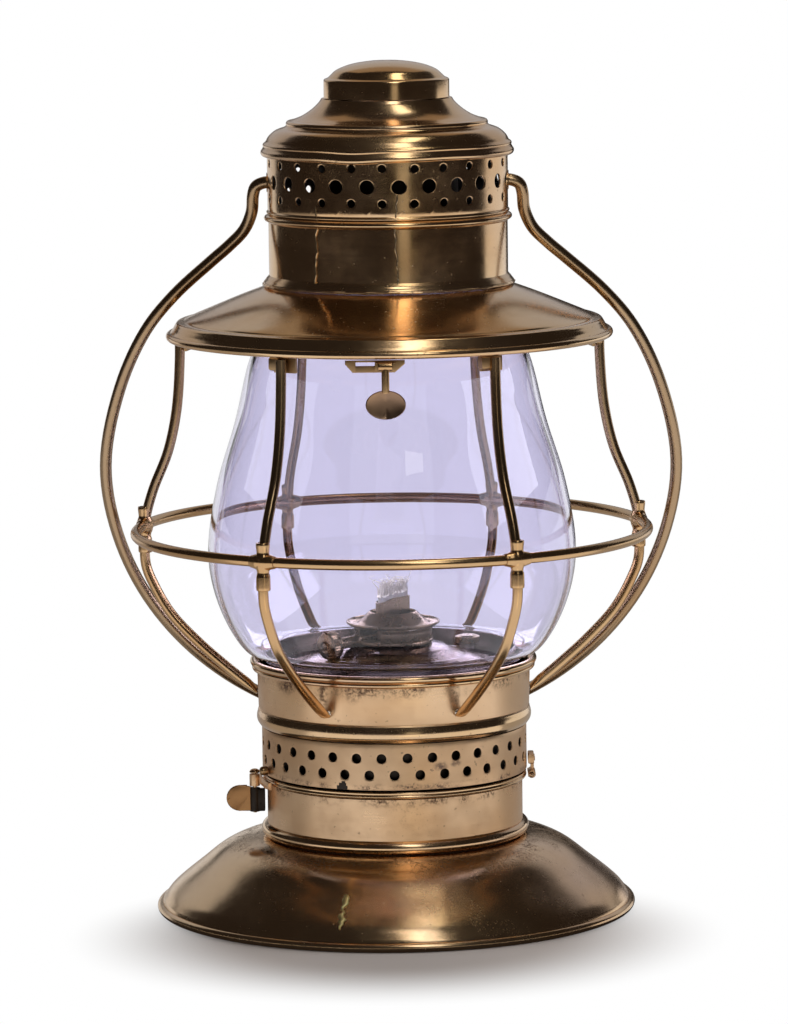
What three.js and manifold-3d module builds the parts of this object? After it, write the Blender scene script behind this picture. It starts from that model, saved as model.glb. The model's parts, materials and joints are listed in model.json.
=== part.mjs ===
// Bell-bottom brass oil lantern: a flared base with its fount and burner, a wire cage
// round a clear glass globe, a hinged ventilated top and a swinging bail.
// Millimetres, +Z up. The origin is the centre of the rim that the lantern stands on.
// The front is -Y. Azimuths are in degrees from the front, positive towards +X.

import * as THREE from "three";
import { mergeVertices } from "three/addons/utils/BufferGeometryUtils.js";
import Module from "manifold-3d";

const wasm = await Module();
wasm.setup();

// ---- driving dimensions -------------------------------------------------------------

const SHEET = 0.8; // thickness of the spun brass sheet
const GAP = 0.3; // air between pieces that touch
const ROUND = 28; // facets round a spun piece
const SMALL_ROUND = 24;
const WIRE_FACETS = 6;
const HOLE_FACETS = 6;

const BASE_RIM_RADIUS = 79.5;
const BASE_NECK_TOP = 24.7;
const BAND_RADIUS = 42.4;
const BAND_TOP = 43.0;
const VENT_RADIUS = 43.9;
const VENT_BOTTOM = 46.4;
const VENT_TOP = 61.6;
const VENT_HOLES = 33; // in each of the two rows
const VENT_HOLE = 3.2;
const VENT_ROWS = [51.4, 56.9]; // heights of the lower and the upper row
const COLLAR_RADIUS = 45.0;
const COLLAR_TOP = 84.4;

const GLOBE_FOOT = 79.9;
const GLOBE_TOP = 203.6;

const RING_RADIUS = 84.6;
const RING_HEIGHT = 126.2;
const RING_WIRE = 3.5;
const GUARD_WIRE = 3.4;
const GUARD_AZIMUTHS = [-154, -103, -29, 28, 103, 155];
const HOOP_RADIUS = 69.4;
const HOOP_BOTTOM = 190.2;
const HOOP_TOP = 194.6;

const BRIM_RADIUS = 73.6;
const CHIMNEY_RADIUS = 39.5;
const CHIMNEY_BOTTOM = 208.1;
const CHIMNEY_TOP = 251.8;
const CHIMNEY_HOLES = 24; // in each of the three rows
const CHIMNEY_PHASE = -10; // azimuth of one large hole
const CHIMNEY_ROWS = [237.0, 242.4, 248.2]; // heights, with the large holes in the middle row
const SMALL_HOLE = 2.7;
const LARGE_HOLE = 4.7;
const CROWN_RADIUS = 20.6;
const LANTERN_HEIGHT = 281.2;

const BAIL_WIRE = 4.0;
const BAIL_PIVOT = new THREE.Vector3(0, 0, 241.6);
const BAIL_BOW_RADIUS = 95.5;
const BAIL_BOW_DROP = 99.5; // from the pivots down to the centre of the bow
const BAIL_LEAN = 15; // degrees behind straight down, where the bail comes to rest

const BASE_HINGE = new THREE.Vector3(45.5, 0, 44.2);
const LID_HINGE = new THREE.Vector3(0, 75.4, 187.6);
const LID_LATCH = new THREE.Vector3(-1.4, -73.1, 188.0);
const BASE_LATCH = new THREE.Vector3(-46.6, 0, 38.0);

const WICK_AZIMUTH = -48; // the wick's flat side and the winding shaft point this way
const SHAFT_HEIGHT = 90.2;
const SHAFT_OFFSET = -4.5; // from the burner's axis to the shaft
const SHAFT_DROOP = 2; // degrees
const SHAFT_REACH = 25.8;
const FILLER = new THREE.Vector2(25, 16);

// ---- materials ----------------------------------------------------------------------

const finish = (color, roughness, metalness) => ({ color, roughness, metalness });
const POLISHED_BRASS = finish(0xb08a4e, 0.2, 1);
const SATIN_BRASS = finish(0xc9a878, 0.4, 1);
const DARK_BRASS = finish(0x6f5c48, 0.45, 1);
const GLASS = { ...finish(0xcfcbee, 0.03, 0), transparent: true, opacity: 0.35 };
const COTTON = finish(0xe3d8cc, 0.95, 0);

// ---- solids -------------------------------------------------------------------------

const lantern = new THREE.Group();

function place(name, geometry, look, parent = lantern) {
  const piece = new THREE.Mesh(geometry, new THREE.MeshStandardMaterial(look));
  piece.name = name;
  parent.add(piece);
  return piece;
}

function polar(radius, azimuth, z) {
  const angle = THREE.MathUtils.degToRad(azimuth);
  return new THREE.Vector3(radius * Math.sin(angle), -radius * Math.cos(angle), z);
}

function points(list) {
  return list.map(([r, z]) => new THREE.Vector2(r, z));
}

// A smooth stretch of an outline through a few points.
function curve(list, steps) {
  return new THREE.SplineCurve(points(list)).getPoints(steps);
}

// A closed section turned round the Z axis. The section runs anticlockwise.
function turned(section, facets = ROUND, phase = 0) {
  const closed = section[0].x === 0 ? section : [...section, section[0]];
  const solid = new THREE.LatheGeometry(closed, facets);
  solid.rotateX(Math.PI / 2);
  solid.rotateZ(THREE.MathUtils.degToRad(phase));
  return solid;
}

// Spun sheet metal: its outer outline going up, then its inner one coming down.
function spun(outer, inner, facets = ROUND, phase = 0) {
  return turned([...outer, ...points(inner)], facets, phase);
}

// A round wire along a curve.
function wire(path, diameter, steps) {
  const section = new THREE.Shape();
  section.absarc(0, 0, diameter / 2, 0, 2 * Math.PI);
  const sweep = { steps, curveSegments: WIRE_FACETS / 2, extrudePath: path, bevelEnabled: false };
  return new THREE.ExtrudeGeometry(section, sweep);
}

function block(width, depth, height, x, y, z) {
  return new THREE.BoxGeometry(width, depth, height).translate(x, y, z);
}

// A rod along X, Y or Z, centred on a point.
function rod(axis, diameter, length, centre, facets = 12) {
  const solid = new THREE.CylinderGeometry(diameter / 2, diameter / 2, length, facets);
  if (axis === "x") solid.rotateZ(Math.PI / 2);
  if (axis === "z") solid.rotateX(Math.PI / 2);
  return solid.translate(centre.x, centre.y, centre.z);
}

function toSolid(geometry) {
  const bare = geometry.clone();
  bare.deleteAttribute("normal");
  bare.deleteAttribute("uv");
  const merged = mergeVertices(bare, 1e-4);
  const vertProperties = new Float32Array(merged.attributes.position.array);
  const triVerts = new Uint32Array(merged.index.array);
  return new wasm.Manifold(new wasm.Mesh({ numProp: 3, vertProperties, triVerts }));
}

function toGeometry(solid) {
  const { vertProperties, triVerts } = solid.getMesh();
  const geometry = new THREE.BufferGeometry();
  geometry.setAttribute("position", new THREE.BufferAttribute(vertProperties, 3));
  geometry.setIndex(new THREE.BufferAttribute(triVerts, 1));
  return geometry;
}

function joined(...shapes) {
  return toGeometry(shapes.map(toSolid).reduce((whole, shape) => whole.add(shape)));
}

function cut(shape, ...tools) {
  return toGeometry(tools.map(toSolid).reduce((rest, tool) => rest.subtract(tool), toSolid(shape)));
}

// Radial punches for one row of round holes.
function punches(count, diameter, radius, z, phase) {
  const row = [];
  for (let i = 0; i < count; i++) {
    const azimuth = phase + (i * 360) / count;
    const punch = new THREE.CylinderGeometry(diameter / 2, diameter / 2, 8, HOLE_FACETS);
    punch.rotateZ(THREE.MathUtils.degToRad(azimuth));
    const at = polar(radius, azimuth, z);
    row.push(punch.translate(at.x, at.y, at.z));
  }
  return row;
}

// ---- base ---------------------------------------------------------------------------

const bellOutline = [
  ...points([[76.4, 0], [78.4, 0], [BASE_RIM_RADIUS, 1.2], [BASE_RIM_RADIUS, 2.4]]),
  ...curve([[78.0, 4.4], [72.2, 9.4], [65.7, 14.6], [58.5, 20.2], [52.5, 23.1], [46, 24.6]], 5),
  ...points([[35.0, BASE_NECK_TOP]]),
];
const bellLining = [[35.0, 23.9], [46.0, 23.8], [58.0, 19.3], [72.0, 8.2], [76.4, 4.0]];
place("base_bell", spun(bellOutline, bellLining), POLISHED_BRASS);

const BAND_BOTTOM = BASE_NECK_TOP + GAP;
const bandOutline = points([
  [41.6, BAND_BOTTOM],
  [43.4, BAND_BOTTOM],
  [44.6, 26.2],
  [44.0, 28.2],
  [BAND_RADIUS, 29.0],
  [BAND_RADIUS, BAND_TOP],
]);
place("base_band", spun(bandOutline, [[BAND_RADIUS - SHEET, BAND_TOP]]), SATIN_BRASS);

const seamBead = new THREE.TorusGeometry(42.6, 1.25, WIRE_FACETS, ROUND).translate(0, 0, 44.6);
place("seam_bead", seamBead, POLISHED_BRASS);

// The tank is open at the burner's mouth.
const FOUNT_TOP = 88.4;
const fountShoulder = [[40.6, 61.0], [35.6, 76.0], [34.0, 80.8], [30.6, 81.2], [24.5, 84.7]];
const fountDome = [[18.5, 87.0], [12.8, FOUNT_TOP - 0.1], [9.4, FOUNT_TOP]];
const fountOutline = points([[0, 25.3], [40.6, 25.3], ...fountShoulder, ...fountDome]);
const fountLining = [[9.4, 87.6], [18.0, 86.0], [32.8, 79.4], [39.8, 60.6], [39.8, 26.1], [0, 26.1]];
place("fount", spun(fountOutline, fountLining), DARK_BRASS);

const fountKeepOut = turned(
  points([[0, 60], [41.6, 60], ...fountShoulder, ...fountDome, [0, FOUNT_TOP]]),
).translate(0, 0, GAP);
const neckCentre = new THREE.Vector3(FILLER.x, FILLER.y, 82.0);
place("filler_neck", cut(rod("z", 6.4, 6.4, neckCentre), fountKeepOut), DARK_BRASS);
const capCentre = new THREE.Vector3(FILLER.x, FILLER.y, 85.2 + GAP + 1.3);
place("filler_cap", rod("z", 8.4, 2.6, capCentre, 16), DARK_BRASS);

// ---- burner -------------------------------------------------------------------------

const burner = new THREE.Group();
burner.rotation.z = THREE.MathUtils.degToRad(WICK_AZIMUTH - 90);
lantern.add(burner);

function flatTube(width, thickness, bottom, top) {
  const outline = new THREE.Shape();
  const flat = (width - thickness) / 2;
  outline.absarc(flat, 0, thickness / 2, -Math.PI / 2, Math.PI / 2);
  outline.absarc(-flat, 0, thickness / 2, Math.PI / 2, (3 * Math.PI) / 2);
  const sweep = { depth: top - bottom, curveSegments: 4, bevelEnabled: false };
  return new THREE.ExtrudeGeometry(outline, sweep).translate(0, 0, bottom);
}

const shaftPlace = (geometry) =>
  geometry.rotateY(THREE.MathUtils.degToRad(SHAFT_DROOP)).translate(0, SHAFT_OFFSET, SHAFT_HEIGHT);

const collarRing = turned(points([[8.6, 88.9], [13.3, 88.9], [13.3, 94.0], [8.6, 94.0]]), SMALL_ROUND);
const shaftBore = shaftPlace(rod("x", 3.4, 20, new THREE.Vector3(12, 0, 0)));
place("burner_collar", cut(collarRing, shaftBore), DARK_BRASS, burner);

const coneSection = points([
  [7.9, 98.4],
  [11.2, 95.3],
  [13.4, 94.3],
  [15.5, 95.6],
  [15.2, 96.0],
  [13.4, 94.9],
  [11.4, 95.9],
  [8.2, 98.9],
]);
place("burner_cone", turned(coneSection, SMALL_ROUND), DARK_BRASS, burner);

const wickTube = cut(
  flatTube(13.9, 3.9, 80.0, 103.6),
  flatTube(12.9, 2.9, 79.0, 105.0),
  new THREE.BoxGeometry(14, 6, 4).rotateY(0.22).translate(5.2, 0, 104.6),
  rod("y", 5.6, 3.0, new THREE.Vector3(0, -2.5, SHAFT_HEIGHT)),
);
place("wick_tube", wickTube, DARK_BRASS, burner);
place("wick", flatTube(12.2, 2.1, 58.0, 108.2), COTTON, burner);

const shaft = joined(
  rod("x", 2.6, SHAFT_REACH + 5, new THREE.Vector3((SHAFT_REACH - 5) / 2, 0, 0)),
  rod("x", 4.0, 3.0, new THREE.Vector3(0, 0, 0)),
);
place("wick_shaft", shaftPlace(shaft), DARK_BRASS, burner);
const knob = cut(
  rod("x", 8.8, 3.2, new THREE.Vector3(SHAFT_REACH - 0.4, 0, 0), 20),
  rod("x", 3.2, 12, new THREE.Vector3(SHAFT_REACH - 4, 0, 0)),
);
place("wick_knob", shaftPlace(knob), DARK_BRASS, burner);

// ---- base hinge and latch -----------------------------------------------------------

const stapleEye = new THREE.Vector3(BASE_HINGE.x, 0, BASE_HINGE.z);
const stapleLeg = (y) => block(2.6, 1.2, 1.2, 45.0 + 0.3, y, BASE_HINGE.z);
const staple = joined(rod("y", 1.0, 11.6, stapleEye, 10), stapleLeg(-5.6), stapleLeg(5.6));
place("base_hinge_staple", staple, POLISHED_BRASS);

const hookKnuckle = joined(
  rod("y", 2.6, 8.0, stapleEye, 12),
  block(1.0, 4.0, 4.0, BASE_HINGE.x + 0.2, 0, BASE_HINGE.z + 2.4),
  block(1.9, 8.6, 3.2, 45.3, 0, 49.3),
);
const hook = cut(hookKnuckle, rod("y", 1.6, 9, stapleEye, 10));
place("base_hinge_hook", hook, SATIN_BRASS);

const strapSection = points([[44.2, 42.5], [45.3, 42.5], [45.3, 44.9], [44.2, 44.9]]);
const strapArc = new THREE.LatheGeometry([...strapSection, strapSection[0]], ROUND);
strapArc.rotateX(Math.PI / 2);
const latchBarrel = rod("z", 3.4, 4.0, new THREE.Vector3(BASE_LATCH.x, 0, 42.8), 14);
const strapWindow = block(8, 20, 6, -44, -9.4, 43.7);
const strap = toGeometry(toSolid(strapArc).intersect(toSolid(strapWindow)));
const mount = cut(
  joined(strap, latchBarrel),
  rod("z", 1.8, 12, new THREE.Vector3(BASE_LATCH.x, 0, 42.0)),
);
place("base_latch_mount", mount, SATIN_BRASS);

const latchPin = joined(
  rod("z", 1.2, 13.6, new THREE.Vector3(BASE_LATCH.x, 0, 38.6)),
  rod("z", 3.6, 1.4, new THREE.Vector3(BASE_LATCH.x, 0, 45.9), 14),
);
place("base_latch_pin", latchPin, POLISHED_BRASS);

function thumbPlate() {
  const outline = new THREE.Shape();
  outline.moveTo(0, 4.0);
  outline.lineTo(-2.4, 4.0);
  outline.lineTo(-2.8, 5.2);
  outline.lineTo(-5.6, 4.9);
  outline.absarc(-5.2, 0.5, 4.3, Math.PI / 2, (3 * Math.PI) / 2);
  outline.lineTo(0, -4.0);
  const plate = new THREE.ExtrudeGeometry(outline, { depth: 1.3, curveSegments: 6, bevelEnabled: false });
  return plate.rotateX(Math.PI / 2).translate(BASE_LATCH.x, 0.65, 36.2);
}
const thumbLever = cut(
  joined(
    thumbPlate(),
    rod("z", 3.4, 8.0, new THREE.Vector3(BASE_LATCH.x, 0, 36.2), 14),
    block(3.2, 2.6, 7.6, BASE_LATCH.x + 1.8, 0, 36.1),
  ),
  rod("z", 1.8, 12, new THREE.Vector3(BASE_LATCH.x, 0, 36)),
);
place("base_latch_lever", thumbLever, SATIN_BRASS);

// ---- cage ---------------------------------------------------------------------------

const ventSection = points([
  [VENT_RADIUS - SHEET, VENT_BOTTOM],
  [VENT_RADIUS, VENT_BOTTOM],
  [VENT_RADIUS, VENT_TOP],
  [VENT_RADIUS - SHEET, VENT_TOP],
]);
const ventPitch = 360 / VENT_HOLES;
const ventBand = cut(
  turned(ventSection, 2 * VENT_HOLES, ventPitch / 4),
  ...punches(VENT_HOLES, VENT_HOLE, VENT_RADIUS, VENT_ROWS[0], 0),
  ...punches(VENT_HOLES, VENT_HOLE, VENT_RADIUS, VENT_ROWS[1], ventPitch / 2),
);
place("vent_band", ventBand, SATIN_BRASS);

const collarSection = points([
  [43.3, VENT_TOP + GAP],
  [44.4, VENT_TOP + GAP],
  [45.5, 64.8],
  [44.9, 67.8],
  [COLLAR_RADIUS, 80.2],
  [47.6, 81.8],
  [47.4, 83.8],
  [46.2, COLLAR_TOP],
  [44.6, 83.4],
  [44.2, 68.2],
]);
place("globe_collar", turned(collarSection), SATIN_BRASS);

const seatSection = points([
  [40.0, 78.4],
  [43.9, 78.4],
  [43.9, 79.5],
  [40.8, 79.5],
  [40.8, 87.2],
  [40.0, 87.2],
]);
place("globe_seat", turned(seatSection), DARK_BRASS);

const globeOutline = [
  ...points([[41.4, GLOBE_FOOT], [43.5, GLOBE_FOOT], [43.6, 84.4], [45.8, 85.5]]),
  ...curve([[48.8, 86.8], [54.5, 95], [59.4, 108], [60.8, 121], [57.6, 142], [51.3, 163], [46, 184]], 6),
  ...points([[37.9, 198.2], [37.8, GLOBE_TOP]]),
];
const globeLining = [[35.6, GLOBE_TOP], [35.7, 197.4], [43.8, 183.4], [55.4, 141.4], [58.6, 121.2], [56.6, 107.4], [49.6, 90.2]];
place("globe", spun(globeOutline, [...globeLining, [41.3, 84.4]]), GLASS);

const hoopSection = points([
  [HOOP_RADIUS - 1.2, HOOP_BOTTOM],
  [HOOP_RADIUS, HOOP_BOTTOM],
  [HOOP_RADIUS, HOOP_TOP],
  [HOOP_RADIUS - 1.2, HOOP_TOP],
]);
const hoopTab = (azimuth) => {
  const tab = block(8.0, 1.0, 6.4, 0, 0, 0).rotateZ(THREE.MathUtils.degToRad(azimuth));
  const at = polar(HOOP_RADIUS - 0.9, azimuth, HOOP_BOTTOM - 2.0);
  return tab.translate(at.x, at.y, at.z);
};
place("top_hoop", joined(turned(hoopSection), ...GUARD_AZIMUTHS.map(hoopTab)), POLISHED_BRASS);

const ringShape = (diameter) =>
  new THREE.TorusGeometry(RING_RADIUS, diameter / 2, WIRE_FACETS, ROUND).translate(0, 0, RING_HEIGHT);
place("guard_ring", ringShape(RING_WIRE), POLISHED_BRASS);

function radialPath(azimuth, list) {
  return new THREE.CatmullRomCurve3(list.map(([r, z]) => polar(r, azimuth, z)), false, "centripetal");
}
const UPPER_ROUTE = [[71.5, 189.6], [71.6, 182], [73.0, 165], [76.2, 151], [81.4, 138.5], [84.1, 133.8]];
const LOWER_ROUTE = [[84.6, 116.5], [84.4, 112], [81.6, 105.6], [76, 96.4], [66.7, 86.9], [57, 78.8], [47.2, 71.2]];
const SLEEVE_TOP = RING_HEIGHT + 6.2;
const SLEEVE_BOTTOM = RING_HEIGHT - 9.2;

function crossSleeve(azimuth) {
  const middle = (SLEEVE_TOP + SLEEVE_BOTTOM) / 2;
  const upright = rod("z", 4.6, SLEEVE_TOP - SLEEVE_BOTTOM, polar(RING_RADIUS, azimuth, middle), 8);
  const level = new THREE.CylinderGeometry(2.75, 2.75, 9, 8).rotateZ(Math.PI / 2);
  level.rotateZ(THREE.MathUtils.degToRad(azimuth));
  const at = polar(RING_RADIUS, azimuth, RING_HEIGHT);
  level.translate(at.x, at.y, at.z);
  return cut(joined(upright, level), ringShape(RING_WIRE + 2 * GAP));
}

GUARD_AZIMUTHS.forEach((azimuth, i) => {
  place(`upper_guard_wire_${i + 1}`, wire(radialPath(azimuth, UPPER_ROUTE), GUARD_WIRE, 7), POLISHED_BRASS);
  place(`lower_guard_wire_${i + 1}`, wire(radialPath(azimuth, LOWER_ROUTE), GUARD_WIRE, 9), POLISHED_BRASS);
  place(`cross_sleeve_${i + 1}`, crossSleeve(azimuth), POLISHED_BRASS);
});

const latchStud = rod("z", 2.4, 2.6, polar(45.4, -72, 48.2), 12);
place("base_latch_stud", latchStud, DARK_BRASS);

// ---- lid hinge and latch ------------------------------------------------------------

const hingeBore = rod("x", 2.2, 30, LID_HINGE, 10);
const leafKnuckle = (x) => rod("x", 3.8, 4.0, new THREE.Vector3(x, LID_HINGE.y, LID_HINGE.z), 12);
const hoopLeaf = cut(
  joined(
    block(19, 1.2, 5.6, 0, HOOP_RADIUS + 0.9, 187.0),
    block(4, 5, 1.6, -7.2, 72.4, 186.6),
    block(4, 5, 1.6, 7.2, 72.4, 186.6),
    leafKnuckle(-7.2),
    leafKnuckle(7.2),
  ),
  hingeBore,
);
place("lid_hinge_hoop_leaf", hoopLeaf, POLISHED_BRASS);
const brimLeaf = cut(
  joined(
    rod("x", 3.8, 9.6, LID_HINGE, 12),
    block(9.6, 1.2, 8.0, 0, LID_HINGE.y + 0.2, LID_HINGE.z + 4.2),
  ),
  hingeBore,
);
place("lid_hinge_brim_leaf", brimLeaf, POLISHED_BRASS);
place("lid_hinge_pin", rod("x", 1.5, 20, LID_HINGE, 10), POLISHED_BRASS);

function latchPlate() {
  const outline = new THREE.Shape();
  outline.moveTo(-14.2, 189.8);
  outline.lineTo(-14.2, 188.6);
  outline.lineTo(-11.8, 185.9);
  outline.lineTo(1.6, 185.9);
  outline.lineTo(4.8, 188.6);
  outline.lineTo(4.8, 189.8);
  const plate = new THREE.ExtrudeGeometry(outline, { depth: 1.0, bevelEnabled: false });
  plate.rotateX(Math.PI / 2);
  return plate.translate(0, -HOOP_RADIUS - GAP, 0);
}
const latchEar = (x) => block(0.9, 3.6, 2.6, x, -72.4, LID_LATCH.z);
const latchBracket = cut(
  joined(latchPlate(), latchEar(LID_LATCH.x - 2.9), latchEar(LID_LATCH.x + 2.9)),
  block(6.4, 6, 1.2, -7.6, -70, 188.6),
);
place("lid_latch_bracket", latchBracket, DARK_BRASS);

const padOutline = new THREE.Shape();
padOutline.absellipse(0, 0, 6.4, 4.65, 0, 2 * Math.PI);
const pad = new THREE.ExtrudeGeometry(padOutline, { depth: 1.2, curveSegments: 20, bevelEnabled: false });
pad.rotateX(Math.PI / 2).translate(LID_LATCH.x, LID_LATCH.y + 0.6, 175.8);
const latchLever = joined(
  rod("x", 2.8, 4.4, LID_LATCH, 12),
  rod("z", 2.5, 9.2, new THREE.Vector3(LID_LATCH.x, LID_LATCH.y, 184.0), 12),
  pad,
);
place("lid_latch_lever", latchLever, DARK_BRASS);

// ---- top ----------------------------------------------------------------------------

const brimOutline = [
  ...points([[71.4, 190.2], [72.8, 190.2], [BRIM_RADIUS, 191.4], [73.4, 192.9], [71.8, 194.6]]),
  ...points([[70.2, 196.4], [66.4, 197.2], [59.7, 200.0], [50, 204.0], [40.4, 207.6]]),
];
const brimLining = [[40.1, 206.8], [59.4, 199.2], [66.2, 196.4], [69.9, 195.6], [71.4, 193.0]];
place("brim", spun(brimOutline, brimLining), POLISHED_BRASS);

const chimneyOutline = points([
  [40.9, CHIMNEY_BOTTOM],
  [40.9, 209.3],
  [39.3, 211.2],
  [39.3, 228.8],
  [40.6, 230.2],
  [CHIMNEY_RADIUS, 232.0],
  [CHIMNEY_RADIUS, CHIMNEY_TOP],
]);
const chimneyLining = [[38.7, CHIMNEY_TOP], [38.5, CHIMNEY_BOTTOM]];
const chimneyPitch = 360 / CHIMNEY_HOLES;
const betweenHoles = CHIMNEY_PHASE + chimneyPitch / 2;
const bailHole = rod("x", 7.2, 100, BAIL_PIVOT, 12);
const chimney = cut(
  spun(chimneyOutline, chimneyLining, 2 * CHIMNEY_HOLES, CHIMNEY_PHASE + chimneyPitch / 4),
  ...punches(CHIMNEY_HOLES, SMALL_HOLE, CHIMNEY_RADIUS, CHIMNEY_ROWS[2], betweenHoles),
  ...punches(CHIMNEY_HOLES, LARGE_HOLE, CHIMNEY_RADIUS, CHIMNEY_ROWS[1], CHIMNEY_PHASE),
  ...punches(CHIMNEY_HOLES, SMALL_HOLE, CHIMNEY_RADIUS, CHIMNEY_ROWS[0], betweenHoles),
  bailHole,
);
place("chimney", chimney, POLISHED_BRASS);

const HOOD_BOTTOM = 250.2;
const hoodOutline = [
  ...points([[40.1, HOOD_BOTTOM], [40.7, HOOD_BOTTOM], [41.5, 251.5], [41.3, 253.0], [39.8, 254.2]]),
  ...points([[37.7, 257.4], [33.6, 259.6], [31.8, 262.1], [24.6, 265.7], [20.9, 268.7]]),
];
const hoodLining = [[19.8, 268.5], [23.9, 265.1], [31.4, 261.3], [33.0, 258.9], [37.0, 256.7], [38.9, 253.9], [40.1, 252.6]];
place("vent_hood", spun(hoodOutline, hoodLining), POLISHED_BRASS);

const crownOutline = [
  ...points([[CROWN_RADIUS, 269.2], [CROWN_RADIUS, 274.7], [18.9, 275.7], [17.0, 277.6]]),
  ...points([[12.2, 279.7], [6, 280.9], [0, LANTERN_HEIGHT]]),
];
const crownLining = points([[0, 280.4], [11.9, 278.9], [19.8, 274.0], [19.8, 269.2]]);
place("crown_cap", turned([...crownOutline, ...crownLining]), POLISHED_BRASS);

const retainerSection = points([
  [38.4, 200.0],
  [39.2, 200.0],
  [39.2, 206.6],
  [38.4, 206.6],
  [38.4, 204.8],
  [34.0, 204.8],
  [34.0, 204.0],
  [38.4, 204.0],
]);
place("globe_retainer", turned(retainerSection), DARK_BRASS);

// ---- bail ---------------------------------------------------------------------------

const hang = new THREE.Group();
hang.position.copy(BAIL_PIVOT);
hang.rotation.x = THREE.MathUtils.degToRad(BAIL_LEAN);
lantern.add(hang);

const BAIL_SHOULDER = [
  [42.5, -1.5],
  [43.0, 2.5],
  [44.6, 10.5],
  [47.4, 16.7],
  [52.6, 22.2],
  [58.4, 27.2],
  [71.0, 39.0],
  [80.8, 51.5],
  [90.0, 72.0],
];
function bailPath() {
  const side = (sign) => BAIL_SHOULDER.map(([x, drop]) => new THREE.Vector3(sign * x, 0, -drop));
  const bow = [];
  for (let angle = 0; angle <= 180; angle += 20) {
    const turn = THREE.MathUtils.degToRad(angle);
    const drop = BAIL_BOW_DROP + BAIL_BOW_RADIUS * Math.sin(turn);
    bow.push(new THREE.Vector3(BAIL_BOW_RADIUS * Math.cos(turn), 0, -drop));
  }
  return new THREE.CatmullRomCurve3([...side(1), ...bow, ...side(-1).reverse()], false, "centripetal");
}
const bailPivot = (sign) => rod("x", BAIL_WIRE, 6.6, new THREE.Vector3(sign * 39.9, 0, 0), 8);
const bail = joined(wire(bailPath(), BAIL_WIRE, 68), bailPivot(-1), bailPivot(1));
place("bail", bail, POLISHED_BRASS, hang);

function bush(sign) {
  const barrel = rod("x", 6.4, 2.6, new THREE.Vector3(sign * 38.4, 0, 0), 12);
  const flange = rod("x", 8.4, 0.8, new THREE.Vector3(sign * 37.5, 0, 0), 12);
  const bore = rod("x", BAIL_WIRE + 1.0, 20, new THREE.Vector3(sign * 39, 0, 0), 12);
  return cut(joined(barrel, flange), bore);
}
place("bail_bush_left", bush(-1), POLISHED_BRASS, hang);
place("bail_bush_right", bush(1), POLISHED_BRASS, hang);

export default lantern;
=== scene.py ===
"""A bell-bottom brass oil lantern: flared base, wire cage round a glass globe, vented top, swinging bail.

Lengths are in millimetres until a mesh is made. The front is -Y, and azimuths are in degrees from
the front, positive towards +X.
"""

import json
import math
import random

import bmesh
import bpy
from mathutils import Matrix, Vector


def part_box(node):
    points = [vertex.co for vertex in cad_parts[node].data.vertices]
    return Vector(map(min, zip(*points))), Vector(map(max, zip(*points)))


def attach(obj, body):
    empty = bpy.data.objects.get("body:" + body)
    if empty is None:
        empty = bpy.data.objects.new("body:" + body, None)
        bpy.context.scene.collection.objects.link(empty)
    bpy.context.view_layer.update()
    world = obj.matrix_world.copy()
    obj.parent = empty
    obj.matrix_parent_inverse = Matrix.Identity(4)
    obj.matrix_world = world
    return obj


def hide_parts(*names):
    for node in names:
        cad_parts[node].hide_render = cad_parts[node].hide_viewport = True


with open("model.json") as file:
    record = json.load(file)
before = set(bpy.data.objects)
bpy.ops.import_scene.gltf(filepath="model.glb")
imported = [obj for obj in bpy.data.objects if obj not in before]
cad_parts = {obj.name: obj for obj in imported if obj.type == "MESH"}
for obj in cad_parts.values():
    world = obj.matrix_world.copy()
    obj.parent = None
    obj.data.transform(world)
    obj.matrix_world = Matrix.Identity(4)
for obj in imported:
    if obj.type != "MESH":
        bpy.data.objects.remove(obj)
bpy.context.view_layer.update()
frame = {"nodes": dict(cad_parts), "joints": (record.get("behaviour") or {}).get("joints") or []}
MM = 0.001
SHEET = 0.8  # thickness of the spun brass sheet
GLASS_WALL = 1.7
BAND_RADIUS = 42.4  # the lower band, below the vents
VENT_HOLES = 33
HOOP_RADIUS = 69.4
RING_RADIUS = 84.6
GUARD_WIRE_RADIUS = 1.7
GUARD_AZIMUTHS = [-154, -103, -29, 28, 103, 155]
CHIMNEY_RADIUS = 39.5
CHIMNEY_HOLES = 24
BAIL_RADIUS = 2.0
BAIL_LEAN = 15  # degrees to the back at rest
WICK_AZIMUTH = -48

# ---- frame ----


def low(node):
    """The lowest corner of a CAD node's box."""
    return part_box(node)[0] / MM


def high(node):
    """The highest corner of a CAD node's box."""
    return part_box(node)[1] / MM


def middle(node):
    return (low(node) + high(node)) / 2


def heights(node):
    return low(node).z, high(node).z


def joint_point(name):
    joint = next(j for j in frame["joints"] if j["name"] == name)
    return Vector(joint["pos_m"]) / MM


def polar(radius, azimuth, z):
    angle = math.radians(azimuth)
    return Vector((radius * math.sin(angle), -radius * math.cos(angle), z))


def placed(spot, degrees, axis):
    return Matrix.Translation(spot) @ Matrix.Rotation(math.radians(degrees), 4, axis)


def link(item):
    bpy.context.scene.collection.objects.link(item)


# ---- outlines ----


def arc(r, z, radius, start, end, steps=8):
    """Points on an arc in an outline. Angle 0 points away from the axis and 90 points up."""
    turns = [math.radians(start + (end - start) * i / steps) for i in range(steps + 1)]
    return [(r + radius * math.cos(t), z + radius * math.sin(t)) for t in turns]


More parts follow.
